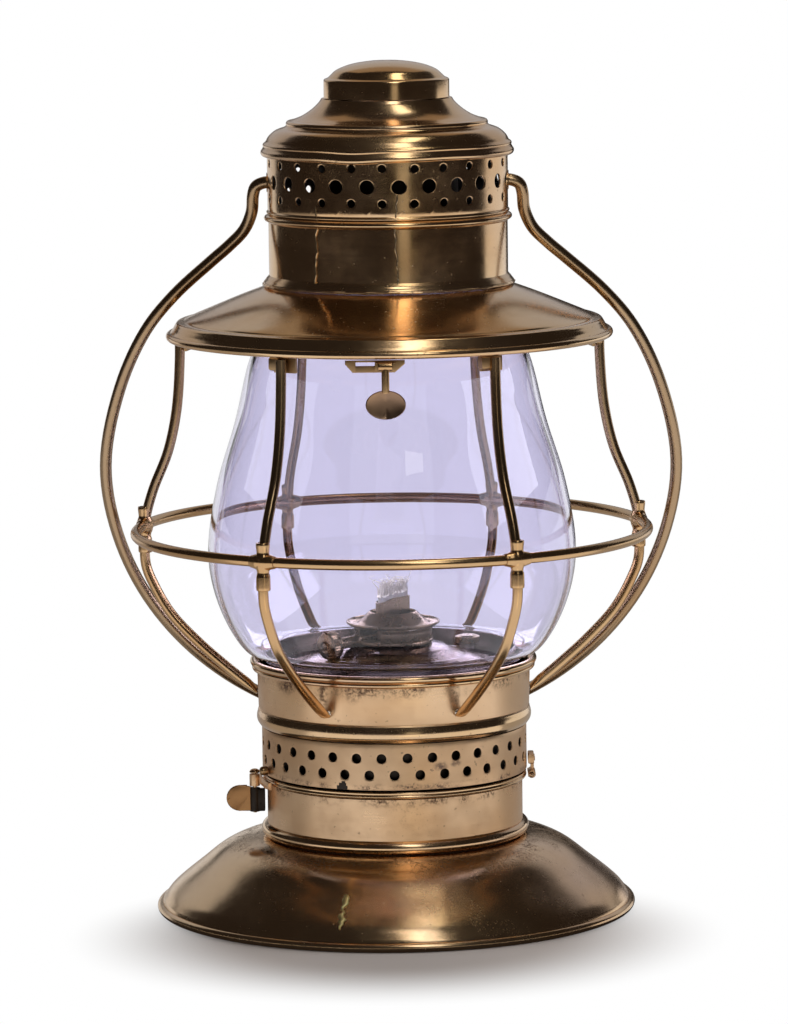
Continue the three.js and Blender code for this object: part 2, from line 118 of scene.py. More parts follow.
def spline(points, steps=6):
    """A smooth line through points of any dimension."""
    pts = [Vector(p) for p in points]
    pts = [2 * pts[0] - pts[1], *pts, 2 * pts[-1] - pts[-2]]
    out = []
    for a, b, c, d in zip(pts, pts[1:], pts[2:], pts[3:]):
        t1 = (b - a).length ** 0.5
        t2 = t1 + (c - b).length ** 0.5
        t3 = t2 + (d - c).length ** 0.5
        for i in range(steps):
            t = t1 + (t2 - t1) * i / steps
            ab = a * ((t1 - t) / t1) + b * (t / t1)
            bc = b * ((t2 - t) / (t2 - t1)) + c * ((t - t1) / (t2 - t1))
            cd = c * ((t3 - t) / (t3 - t2)) + d * ((t - t2) / (t3 - t2))
            abc = ab * ((t2 - t) / t2) + bc * (t / t2)
            bcd = bc * ((t3 - t) / (t3 - t1)) + cd * ((t - t1) / (t3 - t1))
            out.append(abc * ((t2 - t) / (t2 - t1)) + bcd * ((t - t1) / (t2 - t1)))
    return [tuple(p) for p in [*out, pts[-2]]]


def eased(points, radius=0.4):
    """The same line with its corners rounded off."""
    steps = 3
    pts = [Vector(p) for p in points]
    out = [pts[0]]
    for before, corner, after in zip(pts, pts[1:], pts[2:]):
        into, away = corner - before, after - corner
        start = corner - into.normalized() * min(radius, into.length / 2.2)
        end = corner + away.normalized() * min(radius, away.length / 2.2)
        for i in range(steps + 1):
            t = i / steps
            out.append(start * (1 - t) ** 2 + corner * (2 * t * (1 - t)) + end * t * t)
    return [tuple(p) for p in [*out, pts[-1]]]


def inset(points, depth=SHEET):
    """The line moved sideways towards the axis, so that a sheet has the same thickness all over."""
    pts = [Vector(p) for p in points]
    out = []
    for i, p in enumerate(pts):
        along = (pts[min(i + 1, len(pts) - 1)] - pts[max(i - 1, 0)]).normalized()
        side = p + Vector((-along.y, along.x)) * depth
        out.append((max(side.x, 0), side.y))
    return out


def shell(outer, lining=None):
    """A closed section: the outer line, then the inner one back down."""
    return [*outer, *reversed(lining or inset(outer))]


# ---- meshes ----


def add_lathe(bm, section, segments=144, at=Matrix.Identity(4)):
    """Turns a section round the Z axis of `at`, and closes one that doesn't end on the axis."""
    rings = []
    for r, z in section:
        if r < 1e-4:
            rings.append([bm.verts.new(at @ Vector((0, 0, z)))] * segments)
            continue
        turns = [2 * math.pi * i / segments for i in range(segments)]
        rings.append([bm.verts.new(at @ Vector((r * math.cos(t), r * math.sin(t), z))) for t in turns])
    pairs = list(zip(rings, rings[1:]))
    if section[0] != section[-1] and not (section[0][0] < 1e-4 and section[-1][0] < 1e-4):
        pairs.append((rings[-1], rings[0]))
    for lower, upper in pairs:
        for i in range(segments):
            j = (i + 1) % segments
            corners = list(dict.fromkeys([lower[i], lower[j], upper[j], upper[i]]))
            if len(corners) > 2:
                bm.faces.new(corners)


def join_rings(bm, rings, capped=True):
    """Joins rings of corners, each to the next, and closes the first and last if `capped`."""
    for a, b in zip(rings, rings[1:]):
        for k in range(len(a)):
            j = (k + 1) % len(a)
            bm.faces.new([a[k], a[j], b[j], b[k]])
    if capped:
        bm.faces.new(rings[0])
        bm.faces.new(rings[-1])


def add_tube(bm, path, radius, side, sides=16, shape=None):
    """A wire along a flat path. `side` stands square to the path, and shape(t) scales its two widths."""
    pts = [Vector(p) for p in path]
    side = Vector(side).normalized()
    lengths = [0.0]
    for a, b in zip(pts, pts[1:]):
        lengths.append(lengths[-1] + (b - a).length)
    rings = []
    for i, p in enumerate(pts):
        along = (pts[min(i + 1, len(pts) - 1)] - pts[max(i - 1, 0)]).normalized()
        out = along.cross(side).normalized()
        wide, deep = shape(lengths[i] / lengths[-1]) if shape else (1, 1)
        ring = []
        for k in range(sides):
            t = 2 * math.pi * k / sides
            corner = p + side * (radius * wide * math.cos(t)) + out * (radius * deep * math.sin(t))
            ring.append(bm.verts.new(corner))
        rings.append(ring)
    join_rings(bm, rings)


def add_prism(bm, outline, depth, at, bevel=0.25):
    """A flat plate: an outline in the XY plane of `at`, thickened both ways, with eased edges."""
    part = bmesh.new()
    front = [part.verts.new((x, y, -depth / 2)) for x, y in outline]
    back = [part.verts.new((x, y, depth / 2)) for x, y in outline]
    part.faces.new(front)
    part.faces.new(back)
    join_rings(part, [front, back], capped=False)
    if bevel:
        rims = [e for e in part.edges if abs(e.verts[0].co.z - e.verts[1].co.z) < 1e-6]
        bmesh.ops.bevel(part, geom=rims, offset=bevel, segments=3, affect="EDGES", profile=0.5)
    bmesh.ops.transform(part, matrix=at, verts=part.verts[:])
    merge(bm, part)


def merge(bm, part):
    """Adds one bmesh to another."""
    mesh = bpy.data.meshes.new("part")
    part.to_mesh(mesh)
    bm.from_mesh(mesh)
    bpy.data.meshes.remove(mesh)
    part.free()


def add_rod(bm, start, end, radius, segments=32, ease=0.2):
    """A round rod with eased ends."""
    start, end = Vector(start), Vector(end)
    length = (end - start).length
    at = Matrix.Translation(start) @ (end - start).to_track_quat("Z", "Y").to_matrix().to_4x4()
    side = [(radius - ease, 0), (radius, 0), (radius, length), (radius - ease, length)]
    add_lathe(bm, [(0, 0), *eased(side, ease), (0, length)], segments, at)


def add_box(bm, size, centre, turn=0.0, bevel=0.2):
    """A block with eased edges, turned about its upright axis."""
    w, d = size[0] / 2, size[1] / 2
    at = placed(centre, turn, "Z")
    add_prism(bm, [(-w, -d), (w, -d), (w, d), (-w, d)], size[2], at, min(bevel, min(size) / 3))


def add_band(bm, section, start, end, step=2.0):
    """Turns a closed section part of the way round, between two azimuths, and caps its ends."""
    count = max(2, round((end - start) / step))
    rings = []
    for i in range(count + 1):
        azimuth = start + (end - start) * i / count
        rings.append([bm.verts.new(polar(r, azimuth, z)) for r, z in section])
    join_rings(bm, rings)


def make(name, bm, material, body, slot, *nodes, smooth=35):
    """Turns a bmesh in millimetres into a piece that rides on a body and stands for CAD nodes."""
    bmesh.ops.remove_doubles(bm, verts=bm.verts[:], dist=1e-4)
    bmesh.ops.recalc_face_normals(bm, faces=bm.faces[:])
    bmesh.ops.scale(bm, vec=(MM, MM, MM), verts=bm.verts[:])
    mesh = bpy.data.meshes.new(name)
    bm.to_mesh(mesh)
    bm.free()
    piece = bpy.data.objects.new(name, mesh)
    link(piece)
    mesh.materials.append(material)
    mesh.shade_smooth()
    mesh.set_sharp_from_angle(angle=math.radians(smooth))
    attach(piece, body)
    if nodes:
        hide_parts(*nodes)
    return piece


def lathed(name, section, material, body, slot, *nodes, segments=144, at=Matrix.Identity(4)):
    """A piece that is one section turned round the lantern's axis, or round the Z axis of `at`."""
    bm = bmesh.new()
    add_lathe(bm, section, segments, at)
    return make(name, bm, material, body, slot, *nodes)


# ---- materials ----


class Nodes:
    """The node tree of one material, and short ways to add to it."""

    def __init__(self, name):
        self.material = bpy.data.materials.new(name)
        self.material.use_nodes = True
        self.tree = self.material.node_tree
        self.shader = self.tree.nodes["Principled BSDF"]
        self.place = self.add("ShaderNodeTexCoord", {}).outputs["Object"]

    def add(self, kind, inputs, **settings):
        node = self.tree.nodes.new(kind)
        for key, value in settings.items():
            setattr(node, key, value)
        for key, value in inputs.items():
            self.join(value, node.inputs[key])
        return node

    def join(self, source, target):
        """Links a node's output to an input, or sets the input to a value."""
        if hasattr(source, "is_output"):
            self.tree.links.new(source, target)
        else:
            target.default_value = source

    def scaled(self, scale):
        return self.add("ShaderNodeMapping", {"Vector": self.place, "Scale": scale}).outputs["Vector"]

    def noise(self, scale, detail=3.0, rough=0.5, at=None):
        inputs = {"Vector": at or self.place, "Scale": scale, "Detail": detail, "Roughness": rough}
        return self.add("ShaderNodeTexNoise", inputs).outputs["Fac"]

    def ramp(self, value, low, high, to_low=0.0, to_high=1.0):
        inputs = {"Value": value, "From Min": low, "From Max": high, "To Min": to_low, "To Max": to_high}
        return self.add("ShaderNodeMapRange", inputs, interpolation_type="SMOOTHSTEP").outputs["Result"]

    def math(self, operation, a, b=0.0):
        clamp = operation != "SUBTRACT"
        return self.add("ShaderNodeMath", {0: a, 1: b}, operation=operation, use_clamp=clamp).outputs[0]

    def times(self, a, b):
        return self.math("MULTIPLY", a, b)

    def plus(self, base, a, b):
        """The base with a times b added."""
        return self.math("ADD", base, self.times(a, b))

    def mix(self, amount, a, b):
        a, b = (colour if hasattr(colour, "is_output") else (*colour, 1) for colour in (a, b))
        inputs = {"Factor": amount, "A": a, "B": b}
        return self.add("ShaderNodeMix", inputs, data_type="RGBA").outputs["Result"]

    def height(self):
        return self.add("ShaderNodeSeparateXYZ", {0: self.place}).outputs["Z"]

    def length(self, vector):
        return self.add("ShaderNodeVectorMath", {0: vector}, operation="LENGTH").outputs["Value"]

    def radius(self):
        """Distance from the lantern's axis."""
        return self.length(self.scaled((1, 1, 0)))

    def spot(self, centre, reach, stretch=1.0, core=0.2):
        """A blot round a point in millimetres, `stretch` times as tall as it is wide.

        Its `core` is the share of its reach that is solid.
        """
        squeeze = Vector((1, 1, 1 / stretch))
        inputs = {"Vector": self.place, "Scale": squeeze, "Location": -(Vector(centre) * MM) * squeeze}
        away = self.length(self.add("ShaderNodeMapping", inputs).outputs["Vector"])
        return self.ramp(away, reach * core * MM, reach * MM, 1.0, 0.0)

    def bump(self, value, depth, under=None):
        inputs = {"Distance": depth * MM, "Height": value}
        if under:
            inputs["Normal"] = under
        return self.add("ShaderNodeBump", inputs).outputs["Normal"]

    def set(self, **values):
        for key, value in values.items():
            self.join(value, self.shader.inputs[key.replace("_", " ")])


DIRT_AND_SHADE = (0.13, 0.07, 0.04)
LAVENDER = (0.66, 0.58, 0.60)
SOOT_AND_SHADE = (0.012, 0.010, 0.010)


def brass(name, colour, rough, tarnish, grain, dents, dark=DIRT_AND_SHADE, grime_and_shade=(), soot_and_shade=None, bloom=0.0, spots=()):
    """Aged brass. `grime_and_shade` lists heights in millimetres of mottled bands along a joint or under an
    overhang, partly soiling and partly painted shade, each with its reach.

    Inside the radius `soot_and_shade` the sheet is black, from smoke in the chimney and as painted shade in
    the vent band, `bloom` clouds it with pale lavender tarnish, and `spots` are dark blots, each a place,
    a reach and a stretch.
    """
    n = Nodes(name)
    patches = n.noise(38, 4, 0.6)
    specks = n.ramp(n.noise(1500, 4, 0.7), 0.56, 0.66)
    cloud = n.ramp(patches, 0.52, 0.78)
    dirt_and_shade = n.times(n.times(cloud, specks), tarnish * 1.6)
    dirt_and_shade = n.plus(dirt_and_shade, cloud, tarnish * 0.3)
    pits = n.ramp(n.noise(700, 2, 0.5), 0.70, 0.74)
    dirt_and_shade = n.plus(dirt_and_shade, pits, tarnish)
    # Mottled bands along joints and under overhangs: partly soiling, partly painted shade.
    for at, reach in grime_and_shade:
        off = n.math("ABSOLUTE", n.math("SUBTRACT", n.height(), at * MM))
        near = n.ramp(off, 0.0, reach * MM, 0.9, 0.0)
        fine = n.ramp(n.noise(1100, 5, 0.75), 0.44, 0.60)
        broad = n.ramp(n.noise(120, 3, 0.6), 0.40, 0.66)
        dirt_and_shade = n.plus(dirt_and_shade, n.times(near, fine), broad)
    for spot in spots:
        mottle = n.ramp(n.noise(500, 5, 0.7), 0.36, 0.62)
        dirt_and_shade = n.plus(dirt_and_shade, n.times(n.spot(*spot), mottle), 0.75)
    warm = tuple(c * k for c, k in zip(colour, (0.92, 0.82, 0.70)))
    skin = n.mix(n.ramp(n.noise(22, 3), 0.35, 0.7), colour, warm)
    haze = n.times(n.ramp(n.noise(24, 2, 0.5), 0.42, 0.85), bloom)
    skin = n.mix(haze, skin, LAVENDER)
    lines = n.noise(14, 5, 0.7, n.scaled((3, 3, 160)))
    scratches = n.ramp(n.noise(40, 2, 0.5, n.scaled((1, 1, 30))), 0.3, 0.7)
    uneven = max(0.15, min(1.0, 2 * grain))
    least, most = rough * (1 - 0.25 * uneven), rough * (1 + 0.35 * uneven)
    roughness = n.ramp(n.noise(60, 5, 0.65), 0.3, 0.75, least, most)
    roughness = n.plus(roughness, dirt_and_shade, 0.35)
    roughness = n.plus(roughness, haze, 0.25)
    roughness = n.plus(roughness, scratches, 0.03 * grain)
    surface = n.bump(n.noise(26, 2, 0.4), dents * 4)
    surface = n.bump(lines, 0.012 * grain, surface)
    skin = n.mix(dirt_and_shade, skin, dark)
    # Black inside this radius: smoke in the chimney, painted shade in the vent band.
    if soot_and_shade:
        outside = n.ramp(n.radius(), (soot_and_shade - 0.12) * MM, soot_and_shade * MM)
        skin = n.mix(outside, SOOT_AND_SHADE, skin)
        n.set(Metallic=outside)
        roughness = n.math("ADD", roughness, n.math("SUBTRACT", 1.0, outside))
    else:
        n.set(Metallic=1.0)
    n.set(Base_Color=skin, Roughness=roughness, Normal=surface)
    return n.material


def glass(name):
    """Old blown glass, a little wavy, with a lavender tint."""
    n = Nodes(name)
    n.set(Base_Color=(0.81, 0.79, 0.93, 1), Roughness=0.0, IOR=1.47, Transmission_Weight=1.0)
    n.set(Normal=n.bump(n.noise(30, 1, 0.3), 0.08))
    return n.material


def cotton(name):
    """Pale frayed cotton."""
    n = Nodes(name)
    weave = n.noise(900, 2, 0.5, n.scaled((1, 1, 0.25)))
    n.set(Base_Color=n.mix(weave, (0.86, 0.78, 0.70), (0.98, 0.95, 0.90)), Roughness=0.95)
    n.set(Normal=n.bump(weave, 0.3), Sheen_Weight=0.3, Subsurface_Weight=0.1)
    return n.material


GOLD = (0.83, 0.585, 0.345)
PURPLE_DIRT_AND_SHADE = (0.17, 0.12, 0.12)
GREY_DIRT = (0.10, 0.085, 0.08)
FACE = 45.2  # radius of the collar's outside, where its blots lie
STREAKS = [(polar(FACE, azimuth, 77.5), 2.6, 2.6) for azimuth in (-30.5, 26.0)]
CLOUDS = [(polar(FACE, -17, 80), 4.0, 1.6), (polar(FACE, 12, 81), 3.6, 1.0), (polar(FACE, -52, 80), 6.0, 1.0)]
VENT_BLOTS = [(polar(43.9, 20, 53.9), 3.4, 0.6), (polar(43.9, 27, 54.4), 2.6, 0.6)]

# Name, colour and roughness, then how strong the tarnish, the fine grain and the dents are.
# The bell's band under the foot of the lower band is painted shade as well as soiling.
BELL_BRASS = brass("brass_bell", GOLD, 0.18, 0.28, 0.5, 0.07, grime_and_shade=[(24.5, 5.5)], bloom=0.35)
POLISHED = brass("brass_polished", GOLD, 0.15, 0.35, 0.5, 0.05, bloom=0.4)
HOOD_BRASS = brass("brass_hood", GOLD, 0.17, 0.35, 0.5, 0.04, bloom=0.35)
CHIMNEY_BRASS = brass("brass_chimney", GOLD, 0.17, 0.35, 0.5, 0.04, soot_and_shade=39.2, bloom=0.12)
BRIM_BRASS = brass("brass_brim", GOLD, 0.16, 0.45, 0.5, 0.11, bloom=0.3)
# The satin brass's bands at the seam bead and under the collar's lip are painted shade as well as soiling.
SATIN = brass("brass_satin", (0.88, 0.62, 0.39), 0.34, 0.3, 1.0, 0.02, (0.16, 0.10, 0.08),
              grime_and_shade=[(42.4, 2.6), (80.0, 4.5)], spots=STREAKS + CLOUDS)
# The vent brass's band at its foot by the seam bead is painted shade as well as soiling, and its black inside
# is painted shade.
VENT_BRASS = brass("brass_vent", (0.78, 0.54, 0.335), 0.38, 0.5, 1.0, 0.02, PURPLE_DIRT_AND_SHADE,
                   grime_and_shade=[(47.4, 1.6)], soot_and_shade=43.6, spots=VENT_BLOTS)
WIRE = brass("brass_wire", (0.72, 0.48, 0.26), 0.22, 0.0, 0.0, 0.0)
# A darker copy of the wire brass for the upper guard wires under the brim: painted shade.
SHADED_WIRE = brass("brass_shaded_wire", (0.46, 0.32, 0.19), 0.22, 0.0, 0.0, 0.0)
BAIL_BRASS = brass("brass_bail", (0.50, 0.355, 0.22), 0.27, 0.0, 0.0, 0.0)
AGED = brass("brass_aged", (0.31, 0.26, 0.245), 0.24, 0.4, 0.3, 0.03, (0.08, 0.07, 0.07))
DULL = brass("brass_burner", (0.44, 0.345, 0.245), 0.26, 0.2, 0.3, 0.02, GREY_DIRT)
TUBE_BRASS = brass("brass_wick_tube", (0.30, 0.24, 0.18), 0.26, 0.3, 0.3, 0.02, GREY_DIRT)
LATCH_BRASS = brass("brass_latch", (0.50, 0.34, 0.19), 0.36, 0.8, 0.4, 0.05)
PAD_BRASS = brass("brass_pad", (0.38, 0.25, 0.17), 0.34, 0.5, 0.3, 0.12)
COPPERY = brass("brass_thumb_plate", (0.62, 0.34, 0.15), 0.42, 0.4, 0.4, 0.12)
SOLDER = brass("solder", (0.72, 0.66, 0.60), 0.22, 0.2, 0.2, 0.1)
CRACK = brass("brass_crack", (0.90, 0.74, 0.52), 0.22, 0.5, 0.2, 0.1)
BRIGHT = brass("brass_bright", (0.97, 0.84, 0.40), 0.4, 0.0, 0.2, 0.0)
# Black brass; it also makes the band on the fount and the tube in the chimney that stand behind holes as
# painted shade.
BLACKENED = brass("brass_blackened", (0.055, 0.046, 0.040), 0.45, 0.6, 0.3, 0.05, (0.03, 0.025, 0.022))
GLASS = glass("glass_globe")
COTTON = cotton("cotton_wick")

# ---- base ----


def bell():
    rim_radius = high("base_bell").x
    neck_top = high("base_bell").z
    slope = [(77.4, 3.7), (75.2, 6.6), (72.2, 9.4), (65.7, 14.6), (58.5, 20.2), (52.5, 23.0)]
    slope = [*spline([*slope, (46.0, neck_top - 0.2)], 8), (41.0, neck_top)]
    bead = arc(rim_radius - 1.45, 1.45, 1.45, -90, 105, 12)
    section = shell([*bead, *slope], inset(slope))
    lathed("bell", section, BELL_BRASS, "base", "polished_brass", "base_bell", segments=192)


def lower_band():
    bottom, top = heights("base_band")
    shoulder = (BAND_RADIUS, bottom + 4.3)
    bulge = [(41.6, bottom), *arc(42.3, bottom + 2.1, 2.15, -78, 62, 12), shoulder]
    foot = shell(bulge, [(40.9, bottom), (41.6, shoulder[1])])
    lathed("band_foot", foot, POLISHED, "base", "polished_brass")
    lathed("lower_band", shell([shoulder, (BAND_RADIUS, top)]), SATIN, "base", "satin_brass", "base_band")

    centre = middle("seam_bead").z
    bead = [(41.8, -1.2), (43.4, -1.2), (43.9, -0.4), (43.4, 0.1)]
    groove = [(43.6, 0.3), (43.7, 0.9), (42.8, 1.3), (41.8, 1.2)]
    bead = eased([(r, centre + z) for r, z in bead], 0.5) + eased([(r, centre + z) for r, z in groove], 0.4)
    lathed("seam_ring", bead, POLISHED, "base", "polished_brass", "seam_bead")


def fount():
    bottom, top = heights("fount")
    wall = [(0, bottom), (40.4, bottom), (40.6, 61.0), (35.6, 76.0), (34.2, 80.6), (33.2, 81.4), (30.6, 81.2)]
    dome = [(29.8, 82.2), (24.6, 84.7), (24.0, 84.5), (18.5, 86.7), (17.8, 87.2)]
    dome += [(12.8, top - 0.1), (9.4, top)]
    lathed("fount_tank", shell(eased([*wall, *dome], 0.5)), AGED, "base", "aged_brass", "fount")
    # A black band on the fount's wall behind the vent band's holes: painted shade, so that the holes read
    # dark.
    soot_and_shade = [(40.3, 43.5), (40.75, 43.5), (40.75, 61.2), (40.3, 61.2)]
    lathed("fount_shade_band", soot_and_shade, BLACKENED, "base", "aged_brass")


def filler():
    neck_spot = middle("filler_neck")
    over_neck = Matrix.Translation((neck_spot.x, neck_spot.y, 0))
    top = high("filler_neck").z
    neck = [(2.2, 82.6), (3.2, 82.6), (3.2, 83.6), (3.0, 84.0), (3.0, top), (2.2, top)]
    lathed("filler_spout", neck, AGED, "base", "aged_brass", "filler_neck", segments=48, at=over_neck)
    bottom, top = heights("filler_cap")
    side = [(4.0, bottom), (4.2, bottom), (4.2, top - 0.5), (3.4, top - 0.3), (3.0, top), (1.0, top)]
    lid = [(0, bottom), *eased([*side, (0, top)], 0.3)]
    lathed("filler_lid", lid, DULL, "filler_cap", "aged_brass", "filler_cap", segments=48, at=over_neck)


# ---- burner ----
# Built with the wick's flat side along X, then turned to the front left.

BURNER_TURN = placed((0, 0, 0), WICK_AZIMUTH - 90, "Z")
WINDING_SHAFT = BURNER_TURN @ placed((0, -4.5, 90.2), 2, "Y")
LYING = placed((0, 0, 0), 90, "Y")  # puts a turned piece's axis along X


def turned(name, bm, at, material, body, node):
    bmesh.ops.transform(bm, matrix=at, verts=bm.verts[:])
    make(name, bm, material, body, "cotton" if material is COTTON else "aged_brass", node)


def flat_ring(width, thickness, count):
    """Points round a flat tube's section: two straight sides joined by half circles."""
    flat, bend_radius = (width - thickness) / 2, thickness / 2
    straight, bend = 2 * flat, math.pi * thickness / 2
    points = []
    for i in range(count):
        s = 2 * (straight + bend) * i / count
        half, s = divmod(s, straight + bend)
        sign = 1 - 2 * half
        if s < straight:
            points.append((sign * (flat - s), sign * bend_radius))
        else:
            turn = (s - straight) / bend_radius
            x, y = -flat - math.sin(turn) * bend_radius, math.cos(turn) * bend_radius
            points.append((sign * x, sign * y))
    return points


def burner_gallery():
    """The burner's round wall, open at the front left where the shaft comes out."""
    bottom, top = heights("burner_collar")
    bm = bmesh.new()
    foot = [(8.8, bottom), (13.3, bottom), (13.3, bottom + 0.8), (12.9, bottom + 1.1), (8.8, bottom + 1.1)]
    add_lathe(bm, eased(foot, 0.2), 96)
    wall = [(11.9, bottom + 0.9), (12.9, bottom + 0.9), (12.9, top - 0.9), (13.2, top), (12.0, top)]
    add_band(bm, eased(wall, 0.2), WICK_AZIMUTH + 30, WICK_AZIMUTH + 342)
    for azimuth in range(20, 110, 6):
        stud = Matrix.Translation(polar(12.9, azimuth, bottom + 1.6))
        bmesh.ops.create_icosphere(bm, subdivisions=1, radius=0.35, matrix=stud)
    make("burner_gallery", bm, DULL, "base", "aged_brass", "burner_collar")


def burner_dish():
    cone = [(7.6, 99.0), (8.2, 98.6), (9.6, 97.2), (11.0, 95.9), (12.4, 95.0), (13.4, 94.8)]
    cone += [(14.3, 95.1), (14.9, 95.7)]
    curl = arc(15.1, 95.5, 0.42, 110, -110, 8)
    under = [(14.4, 94.5), (13.4, 94.3), (12.2, 94.4), (10.8, 95.3), (9.2, 96.7), (7.9, 98.1), (7.4, 98.4)]
    bm = bmesh.new()
    add_lathe(bm, [*spline(cone, 4), *curl, *under], 128)
    turned("burner_dish", bm, BURNER_TURN, DULL, "base", "burner_cone")


def burner_tube():
    """The flat tube that holds the wick, cut off on a slant."""
    outer, inner = flat_ring(13.9, 3.9, 64), flat_ring(13.1, 3.1, 64)
    slant = [min(103.6, 102.6 - 0.22 * (x - 5.2)) for x, y in outer]
    bm = bmesh.new()
    levels = [(outer, [80.0] * 64), (outer, [99.0] * 64), (outer, slant)]
    levels += [(inner, slant), (inner, [99.0] * 64), (inner, [80.0] * 64)]
    rings = [[bm.verts.new((x, y, z)) for (x, y), z in zip(ring, heights)] for ring, heights in levels]
    join_rings(bm, [*rings, rings[0]], capped=False)
    seam = [(6.9, 0.9, z) for z in (96.5, 99.0, 102.0)]
    add_tube(bm, seam, 0.35, (0, 1, 0), 10)
    turned("burner_tube", bm, BURNER_TURN, TUBE_BRASS, "base", "wick_tube")


def wick():
    """A flat woven core and frayed fibres, which only spread where they are clear of the tube."""
    dice = random.Random(11)
    bm = bmesh.new()
    section = flat_ring(12.2, 2.1, 56)
    top = high("wick").z
    ragged = [top - 3.0 - 0.9 * dice.random() - 0.1 * x for x, y in section]
    rings = [[bm.verts.new((x, y, z)) for x, y in section] for z in (58.0, 80.0, 100.0, 103.0)]
    rings.append([bm.verts.new((x * 1.05, y * 1.2, z)) for (x, y), z in zip(section, ragged)])
    rings.append([bm.verts.new((x * 0.9, y * 0.3, z + 0.5)) for (x, y), z in zip(section, ragged)])
    join_rings(bm, rings)
    clear_of_tube = 107.4
    for _ in range(190):
        x, y = dice.uniform(-5.9, 5.9), dice.uniform(-1.0, 1.0)
        root = Vector((x, y, top - 4.2))
        bend = Vector((x * 1.02, y * 1.05, top - dice.uniform(0.4, 2.2)))
        rise = dice.uniform(0.2, 2.6 + 0.8 * math.sin(1.1 * x + 0.6))
        loose = max(0.0, bend.z + rise - clear_of_tube)
        tip = bend + Vector((dice.gauss(0, 0.8) * loose, dice.gauss(0, 0.7) * loose, rise))
        curl = 0.4 * loose * Vector((dice.gauss(0, 1), dice.gauss(0, 1), dice.uniform(0, 0.8)))
        fibre = spline([root, bend, tip, tip + curl + Vector((0, 0, 0.2))], 3)
        add_tube(bm, fibre, dice.uniform(0.14, 0.25), (0.3, 1, 0.1), 5, tapered)
    turned("wick_braid", bm, BURNER_TURN, COTTON, "wick", "wick")


def tapered(t):
    return 1 - 0.7 * t, 1 - 0.7 * t


def winding_shaft():
    bm = bmesh.new()
    rod = [(0, -5), (1.3, -5), (1.3, 11.2), (2.3, 11.2), (2.35, 12.4), (2.1, 12.6), (1.9, 13.0), (1.9, 20.6)]
    rod += [(1.5, 21.4), (1.3, 25.6), (0, 25.6)]
    add_lathe(bm, rod, 40, LYING)
    turned("winding_shaft", bm, WINDING_SHAFT, DULL, "wick_drive", "wick_shaft")


def winding_knob():
    """A knob with a milled grip and a round nut in its face."""
    bm = bmesh.new()
    flange = eased([(0, 21.9), (4.2, 21.9), (4.8, 22.1), (4.8, 22.5), (4.5, 22.7)], 0.2)
    grip = [(4.35, 22.8), (4.55, 23.1), (4.55, 25.5), (4.1, 26.0), (1.9, 26.2), (1.7, 25.7), (0, 25.7)]
    teeth = 64
    add_lathe(bm, [*flange, *eased(grip, 0.25)], teeth, LYING)
    pitch = 360 / teeth
    for v in bm.verts:
        out = math.hypot(v.co.y, v.co.z)
        if 23.0 < v.co.x < 25.6 and out > 4.2:
            notch = 0.97 if round(math.degrees(math.atan2(v.co.y, v.co.z)) / pitch) % 2 else 1.02
            v.co.y, v.co.z = v.co.y * notch, v.co.z * notch
    add_lathe(bm, eased([(0, 25.7), (1.3, 25.7), (1.3, 26.3), (0.9, 26.7), (0, 26.8)], 0.25), 32, LYING)
    turned("winding_knob", bm, WINDING_SHAFT, DULL, "wick_drive", "wick_knob")


# ---- perforated bands ----


def rim_points(width, height, across, up):
    """Points round a rectangle, anticlockwise from its lower left corner."""
    points = [(-width / 2 + width * i / across, -height / 2) for i in range(across)]
    points += [(width / 2, -height / 2 + height * i / up) for i in range(up)]
    points += [(width / 2 - width * i / across, height / 2) for i in range(across)]
    return points + [(-width / 2, height / 2 - height * i / up) for i in range(up)]


def perforated(name, radius, edges, rows, count, wander, material, body, slot, *nodes):
    """A pierced band. `edges` are the heights between rows, and a row is (height, diameter, phase)."""
    dice = random.Random(7)
    bm = bmesh.new()
    pitch = 2 * math.pi * radius / count
    for (bottom, top), (z, diameter, phase) in zip(zip(edges, edges[1:]), rows):
        rim = rim_points(pitch, top - bottom, 8, 5)
        centre_line = (bottom + top) / 2
        for i in range(count):
            centre = (dice.uniform(-wander, wander), z - centre_line + dice.uniform(-wander, wander) / 2)
            rings = []
            for step in (0, 0.18, 0.5, 1):
                ring = []
                for x, y in rim:
                    away = Vector((x - centre[0], y - centre[1]))
                    inner = Vector(centre) + away.normalized() * (diameter / 2)
                    at = inner.lerp(Vector((x, y)), step)
                    azimuth = phase + (i + at.x / pitch) * 360 / count
                    ring.append(bm.verts.new(polar(radius, azimuth, centre_line + at.y)))
                rings.append(ring)
            for a, b in zip(rings, rings[1:]):
                for k in range(len(rim)):
                    j = (k + 1) % len(rim)
                    bm.faces.new([a[k], b[k], b[j], a[j]])
    bmesh.ops.remove_doubles(bm, verts=bm.verts[:], dist=0.01)  # joins neighbouring cells
    bmesh.ops.recalc_face_normals(bm, faces=bm.faces[:])
    bmesh.ops.solidify(bm, geom=bm.faces[:], thickness=SHEET)
    bmesh.ops.recalc_face_normals(bm, faces=bm.faces[:])
    sharp = [e for e in bm.edges if len(e.link_faces) == 2 and e.calc_face_angle(0) > 0.9]
    bmesh.ops.bevel(bm, geom=sharp, offset=0.14, segments=2, affect="EDGES", profile=0.5)
    make(name, bm, material, body, slot, *nodes)


def vent_band():
    bottom, top, radius = low("vent_band").z, high("vent_band").z, high("vent_band").x
    rows = [(51.4, 3.2, 0), (56.9, 3.2, 180 / VENT_HOLES)]
    perforated("vent_ring", radius, [bottom, 54.15, top], rows, VENT_HOLES, 0.1,
               VENT_BRASS, "cage", "satin_brass", "vent_band")


# ---- cage ----


